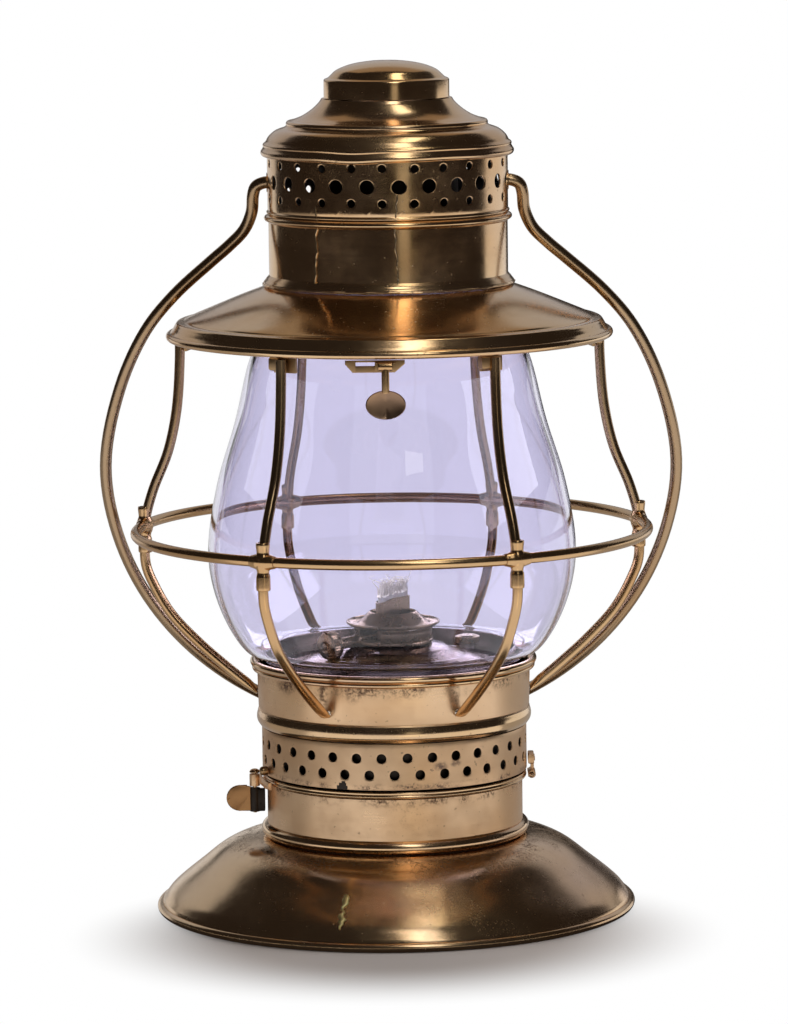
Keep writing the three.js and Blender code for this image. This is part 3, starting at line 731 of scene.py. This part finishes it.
def collar():
    bottom, top = heights("globe_collar")
    swell = [(44.4, bottom + 0.2), (45.3, bottom + 1.6), (45.5, bottom + 3.2), (45.0, bottom + 5.4)]
    foot = [(43.5, bottom), *spline(swell, 5)]
    wall = [(44.7, bottom + 5.9), (44.9, bottom + 6.3), (45.2, top - 4.4)]
    face = [foot[-1], *wall]
    lip = [wall[-1], *arc(46.0, top - 3.2, 0.9, -70, 80, 6), *arc(46.3, top - 1.3, 1.2, -60, 130, 9)]
    foot_section = shell(foot, [(42.9, bottom), (44.0, bottom + 5.4)])
    lathed("collar_foot", foot_section, POLISHED, "cage", "polished_brass")
    lathed("collar", shell(face), SATIN, "cage", "satin_brass", "globe_collar")
    lip_section = shell(lip, [(44.4, top - 4.4), (44.6, top - 1.2)])
    lathed("collar_lip", lip_section, POLISHED, "cage", "polished_brass")
    bottom, top = heights("globe_seat")
    seat = [(40.0, bottom), (43.8, bottom), (43.8, bottom + 1.0), (40.8, bottom + 1.2)]
    seat += [(40.8, top), (40.0, top)]
    lathed("seat_ring", eased([*seat, seat[0]], 0.3), AGED, "cage", "aged_brass", "globe_seat")


def globe():
    foot, top = heights("globe")
    side = [(45.8, foot + 5.6), (48.8, 86.9), (54.5, 95), (59.4, 108), (60.8, 121), (57.6, 142), (51.3, 163)]
    side += [(46, 184), (41.6, 192.6), (38.1, 199.2), (37.8, top)]
    outer = [*eased([(43.3, foot), (43.5, foot + 4.4), (45.2, foot + 5.3)], 0.6), *spline(side, 8)]
    section = shell(outer, inset(outer, GLASS_WALL))
    lathed("globe_glass", section, GLASS, "cage", "clear_glass", "globe", segments=160)


def hoop():
    """The band under the brim, and the tab and bent wire end over each guard wire."""
    bottom, top, inner = low("top_hoop").z + 5.2, high("top_hoop").z, HOOP_RADIUS - 1.2
    bm = bmesh.new()
    add_lathe(bm, eased([(inner, bottom), (HOOP_RADIUS, bottom), (HOOP_RADIUS, top), (inner, top)], 0.2))
    make("hoop", bm, WIRE, "cage", "polished_brass", "top_hoop")
    bm = bmesh.new()
    for azimuth in GUARD_AZIMUTHS:
        add_box(bm, (8.0, 1.0, 6.4), polar(HOOP_RADIUS - 0.9, azimuth, bottom - 2.0), azimuth, 0.3)
        add_box(bm, (3.4, 2.6, 4.4), polar(HOOP_RADIUS + 0.7, azimuth - 2.4, bottom - 2.2), azimuth, 0.8)
    make("hoop_tabs", bm, LATCH_BRASS, "cage", "polished_brass")


def cage_wires():
    ring_height = middle("guard_ring").z
    ring = arc(RING_RADIUS, ring_height, 1.75, 0, 360, 20)[:-1]
    lathed("ring", ring, WIRE, "cage", "polished_brass", "guard_ring", segments=192)
    top = high("upper_guard_wire_1").z
    upper = [(71.5, top), (71.6, 182), (73.0, 165), (76.2, 151), (81.4, 138.5), (84.0, 130), (84.4, 127)]
    lower = [(84.6, 125), (84.5, 113), (81.6, 105.6), (76, 96.4), (66.7, 86.9), (57, 78.8)]
    lower += [(50.6, 73.9), (46.4, 70.8)]
    # The upper wires take the darker copy of the wire brass: painted shade under the brim.
    wires = (("upper", upper, SHADED_WIRE, None), ("lower", lower, WIRE, flattened_end))
    for i, azimuth in enumerate(GUARD_AZIMUTHS, 1):
        side = polar(1, azimuth + 90, 0)
        for name, route, material, shape in wires:
            bm = bmesh.new()
            path = [polar(r, azimuth, z) for r, z in spline(route, 7)]
            add_tube(bm, path, GUARD_WIRE_RADIUS, side, 16, shape)
            node = f"{name}_guard_wire_{i}"
            make(f"{name}_wire_{i}", bm, material, "cage", "polished_brass", node)
        cross_fitting(i, azimuth, ring_height)
        solder(i, azimuth)


def flattened_end(t):
    """A guard wire's foot is hammered flat where it is soldered on."""
    press = max(0.0, (t - 0.93) / 0.07)
    return 1 + 0.25 * press, 1 - 0.45 * press


def cross_fitting(i, azimuth, ring_height):
    """The tee pieces that join the upright wires to the ring: two sleeves, a flared waist and two arms."""
    bm = bmesh.new()
    node = f"cross_sleeve_{i}"
    bottom, top = low(node).z - ring_height, high(node).z - ring_height
    upright = [(1.75, bottom), (2.25, bottom), (2.35, bottom + 0.7), (2.3, bottom + 4.6), (2.0, bottom + 5.4)]
    upright += [(2.0, -3.0), (2.6, -1.6), (2.7, 0), (2.6, 1.4), (2.05, 2.8), (2.1, 3.6)]
    upright += [(2.3, top - 0.7), (2.2, top), (1.7, top)]
    spot = polar(RING_RADIUS, azimuth, ring_height)
    lean = placed(spot, azimuth, "Z")
    add_lathe(bm, eased(upright, 0.4), 32, lean)
    half_arm = [(1.8, -4.4), (2.0, -4.4), (2.15, -3.6), (2.6, -2.0)]
    arm = [*half_arm, (2.8, 0), *((r, -x) for r, x in reversed(half_arm))]
    add_lathe(bm, eased(arm, 0.4), 32, lean @ LYING)
    make(f"cross_fitting_{i}", bm, WIRE, "cage", "polished_brass", node)


def solder(i, azimuth):
    """A small bright lump where a lower wire meets the collar."""
    dice = random.Random(i)
    bm = bmesh.new()
    spot = polar(45.7, azimuth + (1.4 if azimuth < 0 else -1.4), 71.4)
    bmesh.ops.create_icosphere(bm, subdivisions=3, radius=1.0, matrix=Matrix.Translation(spot))
    for v in bm.verts:
        v.co = spot + (v.co - spot) * dice.uniform(0.75, 1.0)
        v.co.z = spot.z + (v.co.z - spot.z) * 1.5
    make(f"solder_{i}", bm, SOLDER, "cage", "polished_brass", smooth=80)


def base_latch():
    """A thumb plate that turns on a post beside the seam and hooks over a stud on the vent band."""
    post = joint_point("base_latch_turn")
    bm = bmesh.new()
    strap = eased([(44.2, 42.5), (45.2, 42.5), (45.3, 43.7), (45.2, 44.9), (44.2, 44.9)], 0.2)
    add_band(bm, strap, -90, -67)
    add_band(bm, [(r + 0.35, z) for r, z in strap], -72, -66)
    add_rod(bm, (post.x, 0, 40.8), (post.x, 0, 44.8), 1.75)
    make("latch_strap", bm, SATIN, "base", "satin_brass", "base_latch_mount")
    bm = bmesh.new()
    add_rod(bm, (post.x, 0, low("base_latch_pin").z), (post.x, 0, 45.6), 0.6, 20, 0.1)
    head = [(0, 45.2), (1.7, 45.2), (1.8, 45.5), (1.5, 46.1), (0.8, 46.5), (0, 46.6)]
    add_lathe(bm, eased(head, 0.3), 32, Matrix.Translation((post.x, 0, 0)))
    make("latch_rivet", bm, POLISHED, "base", "polished_brass", "base_latch_pin")
    bm = bmesh.new()
    turns = [math.radians(a) for a in range(0, 181, 15)]
    tip = [(-5.2 - 4.3 * math.sin(t), 0.5 + 4.3 * math.cos(t)) for t in turns]
    outline = [(0.4, -3.9), (0.4, 3.9), (-2.2, 4.0), (-2.8, 4.9), *tip]
    upright = placed((post.x, 0, 36.2), 90, "X")
    add_prism(bm, outline, 1.3, upright, 0.4)
    make("thumb_plate", bm, COPPERY, "base_latch", "satin_brass", "base_latch_lever")
    bm = bmesh.new()
    add_rod(bm, (post.x, 0, 32.2), (post.x, 0, 40.2), 1.7)
    add_box(bm, (3.2, 2.6, 7.6), (post.x + 1.8, 0, 36.1), 0, 0.5)
    make("latch_block", bm, BLACKENED, "base_latch", "satin_brass")
    spot = middle("base_latch_stud")
    inwards = placed(spot, -72, "Z") @ placed((0, 0, 0), 90, "X")
    stud = eased([(0, -1.3), (1.5, -1.3), (1.5, 0.8), (0.9, 1.4), (0, 1.5)], 0.4)
    lathed("latch_stud", stud, LATCH_BRASS, "cage", "aged_brass", "base_latch_stud", segments=32, at=inwards)


def base_hinge():
    """A hook on the vent band that hangs in a wire staple on the base."""
    pin = joint_point("base_hinge")
    bm = bmesh.new()
    legs = [(44.2, -5.6, pin.z), (45.0, -5.6, pin.z), (pin.x, -5.1, pin.z), (pin.x, 0, pin.z)]
    legs += [(x, -y, z) for x, y, z in reversed(legs[:-1])]
    add_tube(bm, spline(legs, 5), 0.5, (0, 0, 1), 12)
    make("hinge_staple", bm, SATIN, "base", "polished_brass", "base_hinge_staple")
    bm = bmesh.new()
    lying = placed((pin.x, 0, pin.z), 90, "X")
    add_lathe(bm, eased([(0.85, -4), (1.3, -4), (1.3, 4), (0.85, 4)], 0.12), 32, lying)
    add_box(bm, (1.1, 4.0, 3.6), (pin.x + 0.2, 0, pin.z + 2.6), 0, 0.3)
    add_box(bm, (2.0, 8.6, 3.2), (45.3, 0, 49.3), 0, 0.5)
    for y in (-2.6, 2.6):
        add_rod(bm, (46.0, y, 49.3), (46.6, y, 49.3), 0.7, 20, 0.2)
    make("hinge_hook", bm, SATIN, "cage", "satin_brass", "base_hinge_hook")


def lid_latch_bracket():
    """A plate in four parts, so that its slot for the catch stays open, and two ears for the stem."""
    spot = joint_point("lid_latch_press")
    front = placed((0, -70.2, 0), 90, "X")
    bottom, top = heights("lid_latch_bracket")
    left, right, corner = -14.2, 4.8, 188.6
    slot_left, slot_right, slot_bottom, slot_top = -10.9, -4.4, 188.0, 189.2
    bm = bmesh.new()
    end = [(left, top), (left, corner), (-11.8, bottom), (-10.8, bottom), (-10.8, top)]
    add_prism(bm, end, 1.0, front, 0.2)
    for under, over, bevel in ((bottom, slot_bottom, 0.2), (slot_top, top, 0.15)):
        strip = [(slot_left, under), (slot_left, over), (slot_right, over), (slot_right, under)]
        add_prism(bm, strip, 1.0, front, bevel)
    end = [(-4.5, bottom), (-4.5, top), (right, top), (right, corner), (1.6, bottom)]
    add_prism(bm, end, 1.0, front, 0.2)
    for side in (-2.9, 2.9):
        add_box(bm, (0.9, 3.6, 2.6), (spot.x + side, -72.4, spot.z), 0, 0.25)
    make("latch_bracket", bm, LATCH_BRASS, "cage", "aged_brass", "lid_latch_bracket")


def lid_latch_lever():
    """The stem that hangs from the bracket, and the dished pad that a thumb presses."""
    spot = joint_point("lid_latch_press")
    bm = bmesh.new()
    add_rod(bm, (spot.x - 2.2, spot.y, spot.z), (spot.x + 2.2, spot.y, spot.z), 1.4)
    add_rod(bm, (spot.x, spot.y, 179.6), (spot.x, spot.y, 188.4), 1.25)
    make("latch_stem", bm, WIRE, "lid_latch", "aged_brass")
    bm = bmesh.new()
    turns = [math.radians(a) for a in range(0, 360, 6)]
    rings = []
    for shrink, depth in ((0.93, 0.0), (1.0, 0.35), (0.95, 0.62), (0.86, 0.55), (0.6, 0.42), (0.3, 0.36)):
        ring = []
        for t in turns:
            x, z = 6.4 * shrink * math.cos(t), 4.65 * shrink * math.sin(t)
            crease = 0.0 if depth < 0.36 else 0.22 * math.exp(-((x - 0.2) / 0.5) ** 2) * (1 - shrink * 0.6)
            ring.append(bm.verts.new((spot.x + x, spot.y + 0.6 - 2 * depth + 2 * crease, 175.8 + z)))
        rings.append(ring)
    join_rings(bm, rings)
    make("latch_pad", bm, PAD_BRASS, "lid_latch", "aged_brass", "lid_latch_lever")


def lid_hinge():
    pin = joint_point("lid_hinge")
    lying = placed(pin, 90, "Y")
    bm = bmesh.new()
    add_box(bm, (19, 1.2, 5.6), (0, 70.3, 187.0), 0, 0.3)
    for x in (-7.2, 7.2):
        add_box(bm, (4, 5, 1.6), (x, 72.4, 186.6), 0, 0.3)
        add_lathe(bm, eased([(1.1, x - 2), (1.9, x - 2), (1.9, x + 2), (1.1, x + 2)], 0.2), 32, lying)
    make("hinge_leaf_low", bm, WIRE, "cage", "polished_brass", "lid_hinge_hoop_leaf")
    bm = bmesh.new()
    add_lathe(bm, eased([(1.1, -4.8), (1.9, -4.8), (1.9, 4.8), (1.1, 4.8)], 0.2), 32, lying)
    add_box(bm, (9.6, 1.2, 8.2), (0, pin.y + 0.2, pin.z + 5.0), 0, 0.3)
    add_box(bm, (9.6, 6.4, 0.9), (0, pin.y - 2.4, pin.z + 8.8), 0, 0.3)
    make("hinge_leaf_high", bm, WIRE, "top", "polished_brass", "lid_hinge_brim_leaf")
    bm = bmesh.new()
    add_rod(bm, pin - Vector((10, 0, 0)), pin + Vector((10, 0, 0)), 0.75)
    make("hinge_pin", bm, WIRE, "cage", "polished_brass", "lid_hinge_pin")


# ---- top ----


def brim():
    bottom, radius = low("brim").z, high("brim").x
    lip = [(71.4, bottom), *arc(radius - 1.3, bottom + 1.3, 1.3, -90, 100, 10)]
    step = [(71.4, 193.6), (70.6, 195.0), (69.8, 196.1), (67.6, 196.5), (66.3, 197.2)]
    slope = spline([*step, (59.7, 200.0), (50, 204.0), (40.4, 207.6)], 6)
    section = shell([*lip, *slope], inset(slope))
    lathed("brim_sheet", section, BRIM_BRASS, "top", "polished_brass", "brim", segments=192)


def chimney():
    """The plain sleeve with its two beads, and the pierced band above it."""
    bottom, top, seam = low("chimney").z, high("chimney").z, 232.7
    foot = [(41.0, bottom), (41.3, bottom + 0.8), (40.6, bottom + 1.6)]
    foot += [(40.2, bottom + 2.2), (39.3, bottom + 3.2)]
    wall = [(39.3, 228.6), *arc(39.8, 230.0, 0.95, -70, 70, 8), (CHIMNEY_RADIUS, 231.3)]
    wall += [*arc(CHIMNEY_RADIUS, 232.0, 0.45, -70, 70, 6), (CHIMNEY_RADIUS, seam)]
    section = shell([*eased(foot, 0.4), *wall], [(38.6, bottom), (38.6, seam)])
    lathed("chimney_sleeve", section, CHIMNEY_BRASS, "top", "polished_brass", "chimney")
    phase = -10
    between = phase + 180 / CHIMNEY_HOLES
    rows = [(237.0, 2.7, between), (242.4, 4.7, phase), (248.2, 2.7, between)]
    perforated("chimney_vents", CHIMNEY_RADIUS, [seam, 239.7, 245.3, top], rows, CHIMNEY_HOLES, 0.28,
               CHIMNEY_BRASS, "top", "polished_brass")


def chimney_shade_tube():
    """A black inner tube that stands behind the chimney's holes: painted shade, so that they read dark."""
    section = [(22.4, 226.0), (23.2, 226.0), (23.2, 249.4), (22.4, 249.4)]
    lathed("chimney_shade_tube", section, BLACKENED, "top", "aged_brass", segments=72)


def bright_zigzag():
    """A raised zigzag line of bright brass down the front of the bell."""
    dice = random.Random(3)
    bm = bmesh.new()
    slope = spline([(64.4, 15.8), (70.0, 11.3), (75.2, 6.8)], 7)
    path = [polar(r, -14.2 + dice.uniform(-0.5, 0.5), z) for r, z in slope]
    add_tube(bm, path, 0.4, polar(1, 76, 0), 8, lambda t: (1.9 + math.sin(11 * t), 0.9))
    make("bell_zigzag", bm, BRIGHT, "base", "polished_brass", smooth=80)


def chip():
    """A flake of black grime on the vent band's lower edge, narrower towards its top."""
    bm = bmesh.new()
    steps = ((-25.4, -20.6, 46.5, 47.7), (-24.4, -21.2, 47.6, 48.6), (-23.2, -21.6, 48.5, 49.2))
    for start, end, bottom, top in steps:
        add_band(bm, [(43.6, bottom), (44.05, bottom), (44.05, top), (43.6, top)], start, end, 0.8)
    make("vent_chip", bm, BLACKENED, "cage", "aged_brass")


def cracks():
    """Two splits that run down the chimney, each with a bright raised lip."""
    dice = random.Random(5)
    bm = bmesh.new()
    steps = 18
    for azimuth, top, bottom in ((-36.5, 235.8, 209.0), (3.8, 240.0, 208.2)):
        drift, path = 0.0, []
        for i in range(steps + 1):
            drift = drift * 0.7 + dice.uniform(-0.55, 0.55)
            path.append(polar(CHIMNEY_RADIUS, azimuth + drift, top + (bottom - top) * i / steps))
        add_tube(bm, spline(path, 3), 0.27, polar(1, azimuth + 90, 0), 6)
    make("chimney_cracks", bm, CRACK, "top", "polished_brass", smooth=80)


def solder_seam():
    """The uneven line of solder round the chimney's foot."""
    bm = bmesh.new()
    dice = random.Random(8)
    path = []
    for azimuth in range(0, 361, 5):
        radius = 41.1 + dice.uniform(-0.12, 0.12)
        path.append(polar(radius, azimuth, 208.4 + dice.uniform(-0.12, 0.12)))
    for a, b in zip(path, path[1:]):
        add_tube(bm, [a, b], dice.uniform(0.3, 0.5), (0, 0, 1), 6)
    make("chimney_solder", bm, HOOD_BRASS, "top", "polished_brass", smooth=80)


def hood():
    """The stepped hood, with a shallow dent in its front edge."""
    rim = [(40.1, 250.2), *arc(40.3, 251.5, 1.3, -90, 50, 10), (40.9, 253.0)]
    rim += arc(40.1, 253.9, 0.75, -40, 60, 6)
    shoulder = spline([(39.9, 255.0), (39.0, 256.6), (36.8, 258.5), (33.9, 259.6)], 6)
    ledge = [(33.4, 259.9), *arc(32.2, 260.8, 0.95, -30, 100, 8)]
    sweep = spline([(31.3, 261.9), (28.0, 263.2), (24.6, 265.4), (22.2, 267.7), (21.4, 268.9)], 6)
    above = [*shoulder, *ledge, *sweep]
    section = shell([*rim, *above], inset(above))
    shade = lathed("hood", section, HOOD_BRASS, "top", "polished_brass", "vent_hood", segments=160)
    dent_top, dent_depth = 262 * MM, 10 * MM
    for v in shade.data.vertices:
        azimuth = math.degrees(math.atan2(v.co.x, -v.co.y))
        knock = 0.55 * math.exp(-(((azimuth + 16) / 11) ** 2)) - 0.3 * math.exp(-(((azimuth - 30) / 16) ** 2))
        v.co.z -= knock * MM * max(0.0, min(1.0, (dent_top - v.co.z) / dent_depth))


def crown():
    bottom, top, radius = low("crown_cap").z, high("crown_cap").z, high("crown_cap").x
    wall = [(radius, bottom), (radius, bottom + 5.9)]
    wall += [(radius - 1.4, bottom + 6.4), (radius - 2.0, bottom + 7.0)]
    dome = [(radius - 2.2, bottom + 7.2), (16.6, 278.0), (12.2, 279.8), (6, top - 0.3), (0.02, top)]
    section = shell([*eased(wall, 0.5), *spline(dome, 6)])
    lathed("crown", section, HOOD_BRASS, "top", "polished_brass", "crown_cap")


def bail():
    """The carrying bail: two arms and a half circle, as widths and drops from its pivot."""
    lean = placed(joint_point("bail_swing"), BAIL_LEAN, "X")
    arm = [(36.8, 0), (40.6, 0.1), (43.2, 1.4), (44.2, 4.2), (44.8, 10.2), (47.4, 16.4), (52.6, 22.0)]
    arm += [(58.4, 27.2), (71, 39), (80.8, 51.5), (90.0, 72.0)]
    bow_radius, bow_drop = 95.5, 99.5
    turns = [math.radians(a) for a in range(0, 181, 15)]
    bow = [(bow_radius * math.cos(t), bow_drop + bow_radius * math.sin(t)) for t in turns]
    route = [*arm, *bow, *((-x, drop) for x, drop in reversed(arm))]
    path = [lean @ Vector((x, 0, -drop)) for x, drop in spline(route, 7)]
    bm = bmesh.new()
    add_tube(bm, path, BAIL_RADIUS, lean.to_3x3() @ Vector((0, 1, 0)), 20)
    make("bail_wire", bm, BAIL_BRASS, "bail", "polished_brass", "bail")


# ---- light, floor and camera ----


def glow(name, colour, strength):
    """A material that only shines."""
    n = Nodes(name)
    n.tree.nodes.remove(n.shader)
    shine = n.add("ShaderNodeEmission", {"Color": (*colour, 1), "Strength": strength})
    n.join(shine.outputs[0], n.tree.nodes["Material Output"].inputs["Surface"])
    return n.material


def stage_sheet(name, corners, material, faces=None):
    mesh = bpy.data.meshes.new(name)
    mesh.from_pydata(corners, [], faces or [tuple(range(len(corners)))])
    mesh.materials.append(material)
    sheet = bpy.data.objects.new(name, mesh)
    link(sheet)
    return sheet


def hidden(sheet):
    """Only glossy rays meet this sheet."""
    sheet.visible_camera = sheet.visible_transmission = False
    sheet.visible_diffuse = sheet.visible_shadow = False


def reflector(name, azimuth, elevation, away, width, height, strength, colour=(1, 1, 1)):
    """A glowing card that only shows in the brass and glass, standing square to the lantern."""
    turn, rise = math.radians(azimuth), math.radians(elevation)
    towards = Vector((math.sin(turn) * math.cos(rise), -math.cos(turn) * math.cos(rise), math.sin(rise)))
    centre = Vector((0, 0, 0.14)) + towards * away
    across = towards.cross(Vector((0, 0, 1))).normalized() * width / 2
    up = across.cross(towards).normalized() * height / 2
    corners = [centre - across - up, centre + across - up, centre + across + up, centre - across + up]
    hidden(stage_sheet(name, corners, glow(name, colour, strength)))


def ring_glow(name, azimuths, colour, strength):
    """A glowing stretch of table that starts a little way off the lantern's rim."""
    inner, outer = ([tuple(polar(r, a, 0) * MM) for a in azimuths] for r in (104, 950))
    faces = [(i, i + 1, len(inner) + i + 1, len(inner) + i) for i in range(len(inner) - 1)]
    hidden(stage_sheet(name, inner + outer, glow(name, colour, strength), faces))


def floor():
    """A pale floor with a painted soft shadow under and before the lantern, pure white away from it."""
    n = Nodes("floor")
    # Painted shadow: the base colour is dark in a blot under and before the lantern, and only away from it
    # does the floor shine white.
    outside_painted_shadow = n.math("SUBTRACT", 1.0, n.spot((0, -50, 0), 110, core=0.45))
    n.set(Base_Color=n.mix(outside_painted_shadow, (0.46, 0.415, 0.39), (0, 0, 0)), Roughness=0.9, Emission_Color=(1, 1, 1, 1))
    n.set(Emission_Strength=outside_painted_shadow, Specular_IOR_Level=0.0)
    reach = 14.0
    corners = [(-reach, -reach, 0), (reach, -reach, 0), (reach, reach, 0), (-reach, reach, 0)]
    stage_sheet("floor", corners, n.material).visible_glossy = False


def table():
    """What the polished brass mirrors from below."""
    ring_glow("table_glow", range(96, 289, 8), (1.0, 0.96, 0.93), 0.36)
    ring_glow("table_fan", range(-72, 97, 8), (1.0, 0.97, 0.95), 0.85)
    strip = [polar(r, a, 1.0) * MM for r, a in ((220, 0), (940, 13), (940, 22), (220, 24))]
    hidden(stage_sheet("table_strip", strip, glow("table_strip", (1.0, 0.95, 0.82), 1.15)))


def area_light(name, location, size, power):
    """A lamp that faces the lantern and doesn't show in the brass."""
    data = bpy.data.lights.new(name, "AREA")
    data.shape = "RECTANGLE"
    data.size, data.size_y = size
    data.energy = power
    lamp = bpy.data.objects.new(name, data)
    lamp.location = location
    lamp.rotation_euler = (Vector((0, 0, 0.12)) - Vector(location)).to_track_quat("-Z", "Y").to_euler()
    lamp.visible_camera = lamp.visible_glossy = False
    link(lamp)
    return lamp


def lights():
    """A dark room: cards for the brass and glass to mirror, and soft lamps for the rest."""
    world = bpy.data.worlds.new("studio")
    bpy.context.scene.world = world
    world.use_nodes = True
    background = world.node_tree.nodes["Background"]
    background.inputs["Color"].default_value = (0.022, 0.018, 0.016, 1)
    background.inputs["Strength"].default_value = 1.0
    cool, warm = (0.94, 0.95, 1.0), (1.0, 0.80, 0.60)
    reflector("left_wall", -157, -6, 1.6, 1.3, 0.6, 0.7)
    reflector("right_wall", 131, -6, 1.6, 1.5, 0.6, 0.8)
    reflector("back_wall", 180, 26, 1.5, 3.0, 0.85, 0.46, cool)
    reflector("back_high", 180, 50, 1.6, 1.1, 0.7, 0.30, warm)
    reflector("low_window", 20, -11, 1.7, 0.50, 0.36, 0.20, (1.0, 0.93, 0.80))
    reflector("sill", 15, 4, 1.6, 0.30, 0.42, 0.50, (1.0, 0.96, 0.80))
    reflector("window", 17, 48, 1.6, 0.34, 1.2, 2.8, (1.0, 0.99, 0.92))
    reflector("skylight", 88, 80, 1.5, 0.70, 0.24, 2.6, (1.0, 0.97, 0.80))
    area_light("over", (0.5, 0.1, 2.6), (2.4, 2.4), 17)
    area_light("inside", (-0.02, -0.03, 0.172), (0.03, 0.02), 0.055).visible_transmission = False
    for side, power in ((0, 6), (90, 25), (180, 30), (270, 14)):
        area_light(f"fill_{side}", polar(1.8, side, 0.9), (2.0, 1.0), power)


def camera():
    data = bpy.data.cameras.new("camera")
    data.lens = 200.9
    data.sensor_width = 36
    data.clip_end = 60
    view = bpy.data.objects.new("camera", data)
    eye, aim = Vector((0.0008, -1.873, 0.378)), Vector((0.0008, 0, 0.132))
    turn = (aim - eye).to_track_quat("-Z", "Y").to_matrix().to_4x4()
    view.matrix_world = Matrix.Translation(eye) @ turn @ placed((0, 0, 0), -0.7, "Z")
    link(view)
    bpy.context.scene.camera = view


def plain_nodes():
    """CAD nodes that are already the right shape only get their material."""
    looks = {"globe_retainer": AGED, "bail_bush_left": WIRE, "bail_bush_right": WIRE}
    for node, material in looks.items():
        for holder in frame["nodes"][node].material_slots:
            holder.material = material


camera()
floor()
table()
lights()
bell()
lower_band()
fount()
filler()
vent_band()
collar()
globe()
hoop()
cage_wires()
brim()
chimney()
chimney_shade_tube()
bright_zigzag()
chip()
cracks()
solder_seam()
hood()
crown()
bail()
burner_gallery()
burner_dish()
burner_tube()
wick()
winding_shaft()
winding_knob()
base_latch()
base_hinge()
lid_latch_bracket()
lid_latch_lever()
lid_hinge()
plain_nodes()

bpy.context.scene.view_settings.view_transform = "Standard"
